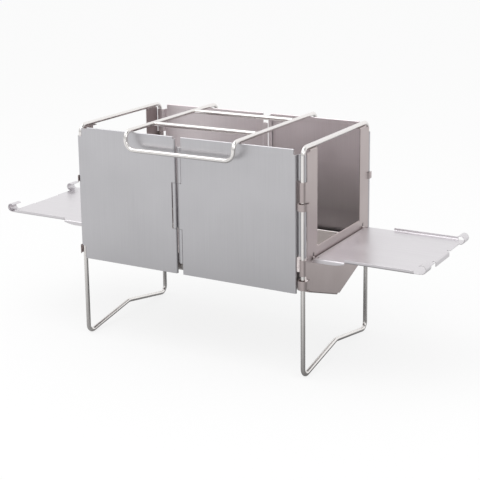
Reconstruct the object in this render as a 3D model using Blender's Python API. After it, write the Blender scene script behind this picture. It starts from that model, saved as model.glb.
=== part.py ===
"""Folding fire pit cooking stand in stainless sheet and rod.

Two closed loops of rod are the legs and the top rails. Four wall panels run between them, hinged on the
rods at the corners, and joined near mid length by a link that turns on two pins. An end plate with a window closes each end, carries the
fire bed on its turned-in lower edge, and holds a side table that folds up over the window. The fire bed is
two plates hinged on one pin. A trivet of the same rod rests across the wall panels.

Metres, +Z up, X along the long side, the front at -Y, and the origin on the ground under the middle.
The stand has two-fold symmetry about +Z: the back and left pieces are the front and right ones half turned.
"""

import math

import bmesh
import bpy
from mathutils import Vector

# Stock
SHEET = 0.0010  # thickness of every sheet part
ROD_RADIUS = 0.0030  # legs, top rails and trivet
PIN_RADIUS = 0.0015  # hinge pins
GAP = 0.0003  # clearance between pieces that touch or turn on each other
SLIT = 0.0004  # saw cut between a tab and the sheet beside it
BEND = 0.0025  # middle radius of an ordinary sheet bend
TIGHT_BEND = 0.0015  # middle radius of a bend beside a rim, ear or flange
ARC_STEP = 18.0  # degrees for each facet of a bend
ROD_RESOLUTION = 4  # bevel resolution of a rod, 12 sides
SHARP_ANGLE = 35.0  # edges turn sharper than this between flat faces, degrees
WRAP_SWEEP = 290.0  # how far a knuckle closes round its rod, degrees

WRAP_RADIUS = ROD_RADIUS + GAP + SHEET / 2
PIN_WRAP_RADIUS = PIN_RADIUS + GAP + SHEET / 2
HEM_RADIUS = SHEET / 2 + GAP / 2

# Rod loops: two legs, a top rail and a foot bar
FRAME_X = 0.172
FRAME_Y = 0.100
TOP_ROD_Z = 0.305
ROD_BEND = 0.010
FOOT_ANGLE = 10.0  # rise of the foot bar towards its middle, degrees
FOOT_CREST_BEND = 0.018

# Wall panels
PANEL_BOTTOM = 0.115
PANEL_TOP = TOP_ROD_Z - 0.001
PANEL_MIDDLE_Y = FRAME_Y + WRAP_RADIUS
PANEL_EDGE_DROP = 0.002  # the sheet beside the hem is this much lower
HEM_DEPTH = 0.006
HEM_END = 0.009  # the hem stops this far from the knuckles of a wrapped leg
NOTCH = 0.004  # the sheet stops this far beside a leg, above and below its knuckles
KNUCKLE_LOW = PANEL_BOTTOM + 0.018  # the knuckles of a wrapped leg run between these heights
KNUCKLE_HIGH = PANEL_TOP - 0.013
FAR_FLAT_END = 0.0109  # from the other leg's axis to where the far edge starts to bend in
FAR_EDGE_HIGH = PANEL_TOP - 0.0075
FAR_WRAP_SWEEP = 128.0  # the far knuckles pass behind the leg and round its outer side, degrees
CENTRE_HINGE_X = 0.0137  # the front hinge lies this far left of the middle, the back one right of it
CENTRE_PIN_SPACING = 0.0094
CENTRE_PIN_Y = PANEL_MIDDLE_Y - PIN_WRAP_RADIUS
LEFT_PIN_X = CENTRE_HINGE_X + CENTRE_PIN_SPACING / 2  # both pins are left of the middle
RIGHT_PIN_X = CENTRE_HINGE_X - CENTRE_PIN_SPACING / 2
PIN_CLEARANCE = PIN_WRAP_RADIUS + SHEET / 2 + GAP  # from a pin's axis to the edge of a sheet that clears its knuckle
CENTRE_LOW = PANEL_BOTTOM + 0.015  # the link and its pins run between these heights
CENTRE_HIGH = PANEL_TOP - 0.014
CENTRE_EDGE_DROP = 0.0035
MIDDLE_KNUCKLE = (PANEL_BOTTOM + 0.0625, PANEL_TOP - 0.063)

# Heights of what holds the legs: hooks and wraps of the end plates, and far knuckles of the panels
UPPER_TAB_Z = KNUCKLE_HIGH - 0.066
TABS = ((KNUCKLE_LOW - 0.012, KNUCKLE_LOW), (UPPER_TAB_Z, UPPER_TAB_Z + 0.009))
LEG_WRAPS = ((KNUCKLE_LOW + 0.006, KNUCKLE_LOW + 0.027), (UPPER_TAB_Z + 0.0106, UPPER_TAB_Z + 0.0366))
FAR_KNUCKLES = ((LEG_WRAPS[0][1] + 0.003, TABS[1][0] - SLIT), (LEG_WRAPS[1][1] + 2 * SLIT, FAR_EDGE_HIGH))

# End plates
PLATE_X = FRAME_X + WRAP_RADIUS
PLATE_EDGE_Y = FRAME_Y - ROD_RADIUS - 2 * GAP
TAB_START_Y = FRAME_Y - 0.009
TAB_RADIUS = WRAP_RADIUS + SHEET + 0.0015  # middle radius of the hook round the leg and its knuckles
TAB_JOGGLE = (0.002, 45.0)  # radius and angle of the double bend before the hook
FULL_HOOK_SWEEP = 215.0
HALF_HOOK_SWEEP = 52.0
LEG_WRAP_SWEEP = 250.0
WINDOW_HALF_WIDTH = FRAME_Y - 0.033
WEB_TOP = PANEL_BOTTOM + 0.056
WEB_HEM_DEPTH = 0.005
LIP_END_Y = FRAME_Y - 0.013
STRIP_CORNER_Z = TOP_ROD_Z - 0.006
LIP_LENGTH = WRAP_RADIUS + ROD_RADIUS - TIGHT_BEND  # the lip reaches in to the rail's inner side
FLANGE_INNER_X = FRAME_X - 0.0115
FLANGE_END_Y = FRAME_Y - 0.012
FLANGE_RELIEF_Y = 0.004

# Fire bed
BED_HALF_LENGTH = FRAME_X - 0.0055
BED_HALF_WIDTH = FRAME_Y - WRAP_RADIUS - SHEET / 2 - 0.0012  # clears the panels' far knuckles
BED_SLOPE = 19.0
BED_AXIS_Z = PANEL_BOTTOM + 0.0031 - BED_HALF_WIDTH * math.tan(math.radians(BED_SLOPE))
BED_TOP = PANEL_BOTTOM + 0.027
BED_HEM_DEPTH = 0.005
BED_PIN_HALF_LENGTH = FLANGE_INNER_X - 0.0015
BED_KNUCKLES = 8
BED_JOGGLE = (0.002, 35.0)
BED_EDGE_SETBACK = PIN_WRAP_RADIUS + SHEET / 2 + 0.0024  # from the pin's axis to the edge between knuckles

# Side tables
TABLE_TOP = WEB_TOP - 0.012
TABLE_AXIS_X = PLATE_X + PIN_WRAP_RADIUS + 0.0019
TABLE_AXIS_Z = TABLE_TOP - SHEET / 2 - PIN_WRAP_RADIUS
TABLE_HALF_WIDTH = FRAME_Y - 0.017
TABLE_EDGE_X = TABLE_AXIS_X + TOP_ROD_Z - TABLE_AXIS_Z - 0.0068  # the hooks reach the top rail when it is up
TABLE_RIM_HEIGHT = 0.0035
RIM_START_X = TABLE_AXIS_X + 0.042
RIM_END_X = TABLE_EDGE_X - 0.008
EAR_DEPTH = 0.005
EAR_ROUND_X = TABLE_AXIS_X + 0.020  # the ear's edge rounds off from here to the rim
EAR_RELIEF = 0.0016  # the ear's foot stops against the plate, and its top clears it as the table turns
HOOK_X = TABLE_EDGE_X + 0.0015  # where the hook starts to curl
HOOK_RADIUS = 0.0055
HOOK_SWEEP = 225.0
HOOK_OUTER_Y = TABLE_HALF_WIDTH - 0.003
HOOK_INNER_Y = HOOK_OUTER_Y - 0.018
CURL_END_Y = HOOK_OUTER_Y - 0.004
LUG_WIDTH = 0.0028  # lugs of the end plate that hold the table's pin
LUG_ROOT = 0.005  # how far a lug is welded up the plate
LUG_JOGGLE = (0.0015, 30.0)
TABLE_PIN_HALF_LENGTH = HOOK_OUTER_Y + SLIT
TABLE_CUT_X = TABLE_AXIS_X + 0.004  # the table is cut back to here over its lugs
FLAP_HALF_WIDTH = 0.025
FLAP_NOTCH = 0.004
FLAP_DROP = 0.007

# Trivet
TRIVET_RAIL_X = 0.083
TRIVET_RAIL_Z = PANEL_TOP + GAP + ROD_RADIUS
TRIVET_HALF_DEPTH = FRAME_Y + 0.019
TRIVET_BAR_Y = 0.053
HANDLE_Z = TOP_ROD_Z - 0.022
HANDLE_BEND = 0.013
TRIVET_BACK_END_Z = TOP_ROD_Z - 0.010
TRIVET_DROP_BEND = 0.010

ROUNDING = 1e-6


def clear_scene():
    for item in list(bpy.data.objects):
        bpy.data.objects.remove(item, do_unlink=True)


def stainless(name, colour, roughness):
    """Principled stainless steel of one colour and roughness."""
    material = bpy.data.materials.new(name)
    material.use_nodes = True
    shader = material.node_tree.nodes["Principled BSDF"]
    shader.inputs["Base Color"].default_value = (*colour, 1.0)
    shader.inputs["Metallic"].default_value = 1.0
    shader.inputs["Roughness"].default_value = roughness
    return material


def line(length):
    """A straight stretch of a path."""
    return ("line", length)


def bend(radius, degrees):
    """A bend of a path, to the left for a positive angle."""
    return ("bend", radius, degrees)


def joggle(shift, radius, degrees):
    """Moves of a double bend that shifts a path sideways, and the length it takes along the path."""
    turn = math.radians(degrees)
    slant = (abs(shift) - 2 * radius * (1 - math.cos(turn))) / math.sin(turn)
    first = degrees if shift > 0 else -degrees
    length = 2 * radius * math.sin(turn) + slant * math.cos(turn)
    return [bend(radius, first), line(slant), bend(radius, -first)], length


def facets(degrees):
    """Number of facets of a bend."""
    return max(2, round(abs(degrees) / ARC_STEP))


def trace(start, heading, moves):
    """Follows lines and bends in a plane, and returns (u, v, nu, nv) with the left-hand normal at each point."""
    u, v = start
    angle = math.radians(heading)
    points = [(u, v, -math.sin(angle), math.cos(angle))]
    for move in moves:
        if move[0] == "line":
            u += move[1] * math.cos(angle)
            v += move[1] * math.sin(angle)
            points.append((u, v, -math.sin(angle), math.cos(angle)))
            continue
        radius, degrees = move[1], move[2]
        side = 1.0 if degrees > 0 else -1.0
        centre_u = u - side * radius * math.sin(angle)
        centre_v = v + side * radius * math.cos(angle)
        steps = facets(degrees)
        for _ in range(steps):
            angle += math.radians(degrees) / steps
            u = centre_u + side * radius * math.sin(angle)
            v = centre_v - side * radius * math.cos(angle)
            points.append((u, v, -math.sin(angle), math.cos(angle)))
    return points


def add_object(name, mesh, material, location=(0.0, 0.0, 0.0), half_turn=False):
    """Links an object that shares the mesh, with the mesh's material."""
    if not mesh.materials:
        mesh.materials.append(material)
    item = bpy.data.objects.new(name, mesh)
    item.location = location
    item.rotation_euler = (0.0, 0.0, math.pi if half_turn else 0.0)
    bpy.context.scene.collection.objects.link(item)
    return item


def sheet_mesh(name, columns, rows, place, present, origin=(0.0, 0.0, 0.0)):
    """Bends a flat blank, given as a grid of cells, into a closed sheet of the stock thickness.

    place(i, j) gives the middle surface's point and unit normal at a grid corner, and present(i, j) says
    whether the blank has the cell between corners (i, j) and (i + 1, j + 1)."""
    work = bmesh.new()
    pairs = {}
    base = Vector(origin)

    def pair(i, j):
        if (i, j) not in pairs:
            point, normal = place(i, j)
            middle = Vector(point) - base
            offset = Vector(normal).normalized() * (SHEET / 2)
            pairs[i, j] = (work.verts.new(middle + offset), work.verts.new(middle - offset))
        return pairs[i, j]

    def has(i, j):
        return 0 <= i < columns - 1 and 0 <= j < rows - 1 and present(i, j)

    for i in range(columns - 1):
        for j in range(rows - 1):
            if not has(i, j):
                continue
            corners = [pair(i, j), pair(i + 1, j), pair(i + 1, j + 1), pair(i, j + 1)]
            work.faces.new([corner[0] for corner in corners])
            work.faces.new([corner[1] for corner in reversed(corners)])
            sides = (((i, j - 1), 0, 1), ((i + 1, j), 1, 2), ((i, j + 1), 2, 3), ((i - 1, j), 3, 0))
            for neighbour, first, second in sides:
                if not has(*neighbour):
                    a, b = corners[first], corners[second]
                    work.faces.new((a[1], b[1], b[0], a[0]))
    bmesh.ops.recalc_face_normals(work, faces=work.faces)
    mesh = bpy.data.meshes.new(name)
    work.to_mesh(mesh)
    work.free()
    mesh.shade_smooth()
    mesh.set_sharp_from_angle(angle=math.radians(SHARP_ANGLE))
    return mesh


def rounded(points, radii, closed):
    """Replaces each inner corner of a polyline by an arc of its own radius."""
    count = len(points)
    path = []
    for index in range(count):
        corner = Vector(points[index])
        if not closed and index in (0, count - 1):
            path.append(corner)
            continue
        back = (Vector(points[index - 1]) - corner).normalized()
        ahead = (Vector(points[(index + 1) % count]) - corner).normalized()
        turn = math.pi - back.angle(ahead)
        reach = radii[index] * math.tan(turn / 2)
        centre = corner + (back + ahead).normalized() * math.hypot(radii[index], reach)
        start = corner + back * reach - centre
        end = corner + ahead * reach - centre
        steps = facets(math.degrees(turn))
        for step in range(steps + 1):
            share = step / steps
            weight_start = math.sin((1 - share) * turn) / math.sin(turn)
            weight_end = math.sin(share * turn) / math.sin(turn)
            path.append(centre + start * weight_start + end * weight_end)
    return path


def rod(name, path, closed, material):
    """A rod of the stock radius along a path, with flat ends."""
    curve = bpy.data.curves.new(name, "CURVE")
    curve.dimensions = "3D"
    curve.bevel_depth = ROD_RADIUS
    curve.bevel_resolution = ROD_RESOLUTION
    curve.use_fill_caps = not closed
    spline = curve.splines.new("POLY")
    spline.points.add(len(path) - 1)
    for point, place in zip(spline.points, path):
        point.co = (*place, 1.0)
    spline.use_cyclic_u = closed
    curve.materials.append(material)
    item = bpy.data.objects.new(name, curve)
    bpy.context.scene.collection.objects.link(item)
    return item


def pin_mesh(name, start, end):
    """A round hinge pin between two points."""
    first, last = Vector(start), Vector(end)
    work = bmesh.new()
    bmesh.ops.create_cone(
        work, cap_ends=True, segments=16, radius1=PIN_RADIUS, radius2=PIN_RADIUS, depth=(last - first).length
    )
    turn = Vector((0, 0, 1)).rotation_difference(last - first)
    for vertex in work.verts:
        vertex.co = turn @ vertex.co + (first + last) / 2
    mesh = bpy.data.meshes.new(name)
    work.to_mesh(mesh)
    work.free()
    mesh.shade_smooth()
    mesh.set_sharp_from_angle(angle=math.radians(SHARP_ANGLE))
    return mesh


def between(low, value, high):
    """Whether a cell's middle lies in a range."""
    return low < value < high


def in_ranges(value, ranges):
    """Whether a cell's middle lies in one of some ranges."""
    return any(between(low, value, high) for low, high in ranges)


def mirrored(values):
    """Stations on both sides of a middle line, from the ones on its positive side."""
    return [-value for value in reversed(values)] + list(values)


def panel_levels():
    """Heights where a wall panel's outline or knuckles change, up to where the hem starts to turn."""
    levels = [PANEL_BOTTOM, KNUCKLE_LOW, KNUCKLE_HIGH, PANEL_TOP - PANEL_EDGE_DROP, PANEL_TOP - CENTRE_EDGE_DROP]
    for level in MIDDLE_KNUCKLE:
        levels += [level - SLIT / 2, level + SLIT / 2]
    for low, high in FAR_KNUCKLES:
        levels += [low, high]
    return sorted({round(level, 6) for level in levels})


def panel_mesh(name, path, has_cell):
    """A wall panel: a path in plan, carried up through the panel's levels, with a hem along the flat.

    has_cell(i, z) says whether the blank has column i at the height z, which is PANEL_TOP in the hem."""
    levels = panel_levels()
    hem = trace((0.0, PANEL_TOP - HEM_RADIUS - SHEET / 2), 90.0, [bend(HEM_RADIUS, -180.0), line(HEM_DEPTH)])

    def place(i, j):
        u, v, nu, nv = path[i]
        if j < len(levels):
            return (u, v, levels[j]), (nu, nv, 0.0)
        inward, height, normal_in, normal_up = hem[j - len(levels)]
        return (u + nu * inward, v + nv * inward, height), (-nu * normal_in, -nv * normal_in, -normal_up)

    def present(i, j):
        if j >= len(levels) - 1:
            return has_cell(i, PANEL_TOP)
        return has_cell(i, (levels[j] + levels[j + 1]) / 2)

    return sheet_mesh(name, len(path), len(levels) + len(hem), place, present)


def in_middle_knuckle(height, margin):
    """Whether a height lies in the middle knuckle of a centre pin, grown by a margin at both ends."""
    low, high = MIDDLE_KNUCKLE
    return between(low - margin, height, high + margin)


def left_panel_mesh():
    """Front left panel: wraps its leg, and has the lower and upper knuckles on the left centre pin."""
    start_angle = math.radians(-90.0 - WRAP_SWEEP)
    start = (
        -FRAME_X + WRAP_RADIUS * math.cos(start_angle),
        -FRAME_Y + WRAP_RADIUS * math.sin(start_angle),
    )
    flat_length = FRAME_X - LEFT_PIN_X
    flat = [line(NOTCH), line(HEM_END), line(flat_length - NOTCH - HEM_END - PIN_CLEARANCE), line(PIN_CLEARANCE)]
    moves = [bend(WRAP_RADIUS, WRAP_SWEEP)] + flat + [bend(PIN_WRAP_RADIUS, WRAP_SWEEP)]
    path = trace(start, math.degrees(start_angle) + 90.0, moves)
    notch_column = facets(WRAP_SWEEP)
    hem_column = notch_column + 2

    def has_cell(i, height):
        if i <= notch_column:
            return between(KNUCKLE_LOW, height, KNUCKLE_HIGH)
        if i < hem_column:
            return height < PANEL_TOP - PANEL_EDGE_DROP
        if i == hem_column:
            return True
        if in_middle_knuckle(height, SLIT / 2):
            return False
        return i == hem_column + 1 or height < PANEL_TOP - CENTRE_EDGE_DROP

    return panel_mesh("front_left_panel", path, has_cell)


def right_panel_mesh():
    """Front right panel: has the middle knuckle on the right centre pin, and bends in behind its leg."""
    start_angle = math.radians(-90.0 - WRAP_SWEEP)
    start = (
        -RIGHT_PIN_X + PIN_WRAP_RADIUS * math.cos(start_angle),
        -CENTRE_PIN_Y + PIN_WRAP_RADIUS * math.sin(start_angle),
    )
    flat = [line(PIN_CLEARANCE), line(FRAME_X - FAR_FLAT_END + RIGHT_PIN_X - PIN_CLEARANCE)]
    inset = 2 * WRAP_RADIUS
    far = [bend(BEND, 90.0), line(inset - 2 * BEND), bend(BEND, -90.0), line(FAR_FLAT_END - 2 * BEND)]
    moves = [bend(PIN_WRAP_RADIUS, WRAP_SWEEP)] + flat + far + [bend(WRAP_RADIUS, -FAR_WRAP_SWEEP)]
    path = trace(start, math.degrees(start_angle) + 90.0, moves)
    hem_column = facets(WRAP_SWEEP) + 1
    edge_end = hem_column + 1 + facets(90.0)

    def has_cell(i, height):
        if i < hem_column:
            return in_middle_knuckle(height, -SLIT / 2)
        if i == hem_column:
            return True
        if i < edge_end:
            return height < FAR_EDGE_HIGH
        return in_ranges(height, FAR_KNUCKLES)

    return panel_mesh("front_right_panel", path, has_cell)


def centre_link_mesh():
    """Front centre link: a web behind the two pins, curled round the left one at mid height, and round the
    right one above and below that."""
    curl_end = math.radians(90.0 + WRAP_SWEEP)
    start = (
        -LEFT_PIN_X + PIN_WRAP_RADIUS * math.cos(curl_end),
        -CENTRE_PIN_Y + PIN_WRAP_RADIUS * math.sin(curl_end),
    )
    curl = bend(PIN_WRAP_RADIUS, -WRAP_SWEEP)
    web = [line(PIN_CLEARANCE), line(CENTRE_PIN_SPACING - 2 * PIN_CLEARANCE), line(PIN_CLEARANCE)]
    path = trace(start, math.degrees(curl_end) - 90.0, [curl] + web + [curl])
    levels = [CENTRE_LOW]
    for level in MIDDLE_KNUCKLE:
        levels += [level - SLIT / 2, level + SLIT / 2]
    levels.append(CENTRE_HIGH)
    web_column = facets(WRAP_SWEEP) + 1

    def place(i, j):
        u, v, nu, nv = path[i]
        return (u, v, levels[j]), (nu, nv, 0.0)

    def present(i, j):
        height = (levels[j] + levels[j + 1]) / 2
        if i == web_column:
            return True
        return in_middle_knuckle(height, -SLIT / 2) if i < web_column else not in_middle_knuckle(height, SLIT / 2)

    return sheet_mesh("front_centre_link", len(path), len(levels), place, present)


def bed_line_height(y, offset):
    """Height of a surface parallel to the bed's slope, offset square to the slope from the pin's axis."""
    slope = math.radians(BED_SLOPE)
    return BED_AXIS_Z + offset / math.cos(slope) + abs(y) * math.tan(slope)


def end_plate_mesh():
    """Right end plate: two strips and a web round a window, hooks round the legs, and a turned-in flange.

    Its columns run from the end of the front hooks to the end of the back hooks, and its rows from the inner
    edge of the flange up to the lip below the top rail."""
    flat_y = mirrored([
        FLANGE_RELIEF_Y, WINDOW_HALF_WIDTH - SLIT, WINDOW_HALF_WIDTH, LIP_END_Y, FLANGE_END_Y, TAB_START_Y
    ])  # fmt: skip
    moves, length = joggle(FRAME_X + TAB_RADIUS - PLATE_X, *TAB_JOGGLE)
    moves.append(line(FRAME_Y - TAB_START_Y - length))
    # u runs away from the middle of the plate, v outwards; the hook turns back round the leg
    full_hook = trace((TAB_START_Y, PLATE_X), 0.0, moves + [bend(TAB_RADIUS, -FULL_HOOK_SWEEP)])
    half_hook = trace((TAB_START_Y, PLATE_X), 0.0, moves + [bend(TAB_RADIUS, -HALF_HOOK_SWEEP)])
    moves = [line(PLATE_EDGE_Y - TAB_START_Y), line(FRAME_Y - PLATE_EDGE_Y), bend(WRAP_RADIUS, -LEG_WRAP_SWEEP)]
    leg_wrap = trace((TAB_START_Y, PLATE_X), 0.0, moves)
    front = len(full_hook) - 1
    last_flat = front + len(flat_y) - 1
    columns = last_flat + len(half_hook)
    wrap_front = front + 1 - len(leg_wrap)

    flange_length = PLATE_X - TIGHT_BEND - FLANGE_INNER_X
    flange = trace((FLANGE_INNER_X, 0.0), 0.0, [line(flange_length), bend(TIGHT_BEND, 90.0)])
    hem_start = WEB_TOP - HEM_RADIUS - SHEET / 2
    levels = [hem_start, STRIP_CORNER_Z]
    for low, high in TABS + LEG_WRAPS:
        levels += [low - SLIT, low, high, high + SLIT]
    levels.sort()
    lip_start = (PLATE_X, TOP_ROD_Z - WRAP_RADIUS - TIGHT_BEND)
    lip = trace(lip_start, 90.0, [bend(TIGHT_BEND, 90.0), line(LIP_LENGTH)])
    hem = trace((PLATE_X, hem_start), 90.0, [bend(HEM_RADIUS, 180.0), line(WEB_HEM_DEPTH)])
    first_level = len(flange)
    first_lip = first_level + len(levels)
    web_row = first_level + levels.index(hem_start)

    def row_in(j, ranges):
        if not first_level <= j < first_lip:
            return False
        return any(low <= levels[j - first_level] <= high for low, high in ranges)

    def cell_in(j, ranges):
        if not row_in(j, ranges) or not row_in(j + 1, ranges):
            return False
        return in_ranges((levels[j - first_level] + levels[j - first_level + 1]) / 2, ranges)

    def plan(i, j):
        """Point and normal in plan of a grid corner, as (y, x, normal y, normal x)."""
        if front <= i <= last_flat:
            return flat_y[i - front], PLATE_X, 0.0, 1.0
        side, hook, index = (-1.0, full_hook, front - i) if i < front else (1.0, half_hook, i - last_flat)
        if row_in(j, TABS):
            u, v, nu, nv = hook[index]
            return side * u, v, side * nu, nv
        if row_in(j, LEG_WRAPS) and wrap_front <= i < front:
            u, v, nu, nv = leg_wrap[index]
            return -u, v, -nu, nv
        return side * PLATE_EDGE_Y, PLATE_X, 0.0, 1.0

    def place(i, j):
        y, x, normal_y, normal_x = plan(i, j)
        if j < first_level:
            # the flange lies under the bed, with the usual gap
            height = bed_line_height(max(abs(y), FLANGE_RELIEF_Y), -SHEET - GAP)
            x, rise, normal_x, normal_z = flange[j]
            return (x, y, height + rise), (normal_x, 0.0, normal_z)
        if abs(y) < WINDOW_HALF_WIDTH - SLIT / 2 and j >= web_row:
            x, height, normal_x, normal_z = hem[min(j - web_row, len(hem) - 1)]
            return (x, y, height), (normal_x, 0.0, normal_z)
        if j < first_lip:
            return (x, y, levels[j - first_level]), (-normal_x, -normal_y, 0.0)
        x, height, normal_x, normal_z = lip[j - first_lip]
        return (x, y, height), (normal_x, 0.0, normal_z)

    def present(i, j):
        if i < front or i >= last_flat:
            if not first_level <= j < first_lip - 1:
                return False
            if cell_in(j, TABS) or (cell_in(j, LEG_WRAPS) and wrap_front <= i < front):
                return True
            return i in (front - 1, last_flat) and not row_in(j, TABS) and not row_in(j + 1, TABS)
        width = abs(flat_y[i - front] + flat_y[i - front + 1]) / 2
        if j < first_level - 1:
            return between(FLANGE_RELIEF_Y, width, FLANGE_END_Y)
        if j < web_row:
            return True
        if width < WINDOW_HALF_WIDTH - SLIT:
            return j - web_row < len(hem) - 1
        if width < WINDOW_HALF_WIDTH:
            return False
        return j < first_lip - 1 or width < LIP_END_Y

    return sheet_mesh("right_end_plate", columns, first_lip + len(lip), place, present)


def strip_mesh(name, path, start, end):
    """A strip of sheet bent along a path in the XZ plane, between two values of y."""

    def place(i, j):
        u, v, nu, nv = path[i]
        return (u, (start, end)[j], v), (nu, 0.0, nv)

    return sheet_mesh(name, len(path), 2, place, lambda i, j: True)


def add_table_lugs(plate, turned):
    """Unites an end plate with the two lugs that hold its table's pin."""
    moves, length = joggle(TABLE_AXIS_X - PIN_WRAP_RADIUS - PLATE_X, *LUG_JOGGLE)
    top = (PLATE_X, TABLE_AXIS_Z + length + LUG_ROOT)
    path = trace(top, -90.0, [line(LUG_ROOT)] + moves + [bend(PIN_WRAP_RADIUS, WRAP_SWEEP)])
    middle = (CURL_END_Y + HOOK_OUTER_Y) / 2
    for side, word in ((-1, "front"), (1, "back")):
        name = f"{plate.name}_{word}_lug_shape"
        shape = strip_mesh(name, path, side * middle - LUG_WIDTH / 2, side * middle + LUG_WIDTH / 2)
        lug = add_object(name, shape, plate.data.materials[0], half_turn=turned)
        lug.hide_render = True
        lug.display_type = "WIRE"
        union = plate.modifiers.new(f"{word}_lug", "BOOLEAN")
        union.operation = "UNION"
        union.object = lug


def ear_drop(x):
    """Depth of a table's ear: level near the hinge, and round at its outer end."""
    share = max(0.0, min(1.0, (x - EAR_ROUND_X) / (RIM_START_X - EAR_ROUND_X)))
    return max(TIGHT_BEND + SHEET, EAR_DEPTH * math.sqrt(1.0 - share * share))


def table_mesh(name, origin):
    """Right side table: a curl round its pin, ears and rims along the sides, and a flap between two hooks.

    Its columns run from the front side to the back one, and its rows from the end of the curl outwards."""
    middle_z = TABLE_TOP - SHEET / 2
    curl_start = math.radians(90.0 + WRAP_SWEEP)
    start = (
        TABLE_AXIS_X + PIN_WRAP_RADIUS * math.cos(curl_start),
        TABLE_AXIS_Z + PIN_WRAP_RADIUS * math.sin(curl_start),
    )
    curl = trace(start, WRAP_SWEEP, [bend(PIN_WRAP_RADIUS, -WRAP_SWEEP)])
    ear_x = [TABLE_AXIS_X + 0.010]
    ear_x += [EAR_ROUND_X + share * (RIM_START_X - EAR_ROUND_X) for share in (0.0, 0.36, 0.64, 0.82)]
    flat = [TABLE_CUT_X, *ear_x, RIM_START_X - SLIT, RIM_START_X, RIM_END_X]
    flat += [TABLE_EDGE_X - FLAP_NOTCH, TABLE_EDGE_X]
    hook = trace((HOOK_X, middle_z), 0.0, [bend(HOOK_RADIUS, HOOK_SWEEP)])
    flap_start = TABLE_EDGE_X - TIGHT_BEND - SHEET / 2
    flap_moves = [bend(TIGHT_BEND, -90.0), line(FLAP_DROP - TIGHT_BEND - SHEET / 2)]
    flap = trace((flap_start, middle_z), 0.0, flap_moves)
    first_flat = len(curl)
    ear_row = first_flat - 2  # the ears start at the plate, further in than the rest of the flat
    edge_row = first_flat + len(flat) - 1
    rows = edge_row + 1 + len(hook)

    side_start = TABLE_HALF_WIDTH - SHEET / 2 - TIGHT_BEND
    rim_length = TABLE_RIM_HEIGHT + SHEET / 2 - TIGHT_BEND
    rim = trace((side_start, middle_z), 0.0, [bend(TIGHT_BEND, 90.0), line(rim_length)])
    side_count = len(rim) - 1
    stations = mirrored([
        FLAP_HALF_WIDTH, FLAP_HALF_WIDTH + FLAP_NOTCH, HOOK_INNER_Y, CURL_END_Y, HOOK_OUTER_Y, side_start
    ])  # fmt: skip
    columns = len(stations) + 2 * side_count
    ear_foot_x = PLATE_X + SHEET / 2 + GAP

    def row_x(j, width):
        """Where row j crosses the flat of the table, at this distance from its middle line."""
        if j == ear_row and width > HOOK_OUTER_Y:
            return ear_foot_x + EAR_RELIEF
        if j < first_flat:
            return TABLE_AXIS_X
        return flat[min(j - first_flat, len(flat) - 1)]

    def side_point(index, x):
        """Point and normal across the side of the table, index steps out from where the flat ends."""
        if x >= RIM_START_X:
            return rim[index]
        moves = [bend(TIGHT_BEND, -90.0), line(ear_drop(x) - TIGHT_BEND + SHEET / 2)]
        return trace((side_start, middle_z), 0.0, moves)[index]

    def place(i, j):
        if i < side_count or i >= columns - side_count:
            index = side_count - i if i < side_count else i - (columns - side_count) + 1
            side = -1.0 if i < side_count else 1.0
            x = row_x(j, TABLE_HALF_WIDTH)
            y, z, ny, nz = side_point(index, x)
            if x < TABLE_AXIS_X and index == side_count:
                x = ear_foot_x
            return (x, side * y, z), (0.0, side * ny, nz)
        y = stations[i - side_count]
        width = abs(y)
        if j < first_flat and width <= CURL_END_Y + GAP:
            x, z, nx, nz = curl[j]
            return (x, y, z), (nx, 0.0, nz)
        if width <= FLAP_HALF_WIDTH + GAP and j >= edge_row:
            x, z, nx, nz = flap[min(j - edge_row, len(flap) - 1)]
            return (x, y, z), (nx, 0.0, nz)
        if j > edge_row:
            x, z, nx, nz = hook[j - edge_row - 1]
            return (x, y, z), (nx, 0.0, nz)
        return (row_x(j, width), y, middle_z), (0.0, 0.0, 1.0)

    def present(i, j):
        if i < side_count or i >= columns - side_count - 1:
            if not ear_row <= j < edge_row:
                return False
            x = (row_x(j, TABLE_HALF_WIDTH) + row_x(j + 1, TABLE_HALF_WIDTH)) / 2
            return x < RIM_START_X - SLIT or between(RIM_START_X, x, RIM_END_X)
        width = abs(stations[i - side_count] + stations[i - side_count + 1]) / 2
        if j < first_flat - 1:
            return width < CURL_END_Y
        if j == first_flat - 1:
            return not between(CURL_END_Y, width, HOOK_OUTER_Y)
        if j < edge_row - 1:
            return True
        if j == edge_row - 1:
            return not between(FLAP_HALF_WIDTH, width, FLAP_HALF_WIDTH + FLAP_NOTCH)
        if width < FLAP_HALF_WIDTH:
            return j - edge_row < len(flap) - 1
        return between(HOOK_INNER_Y, width, HOOK_OUTER_Y)

    return sheet_mesh(name, columns, rows, place, present, origin)


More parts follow.
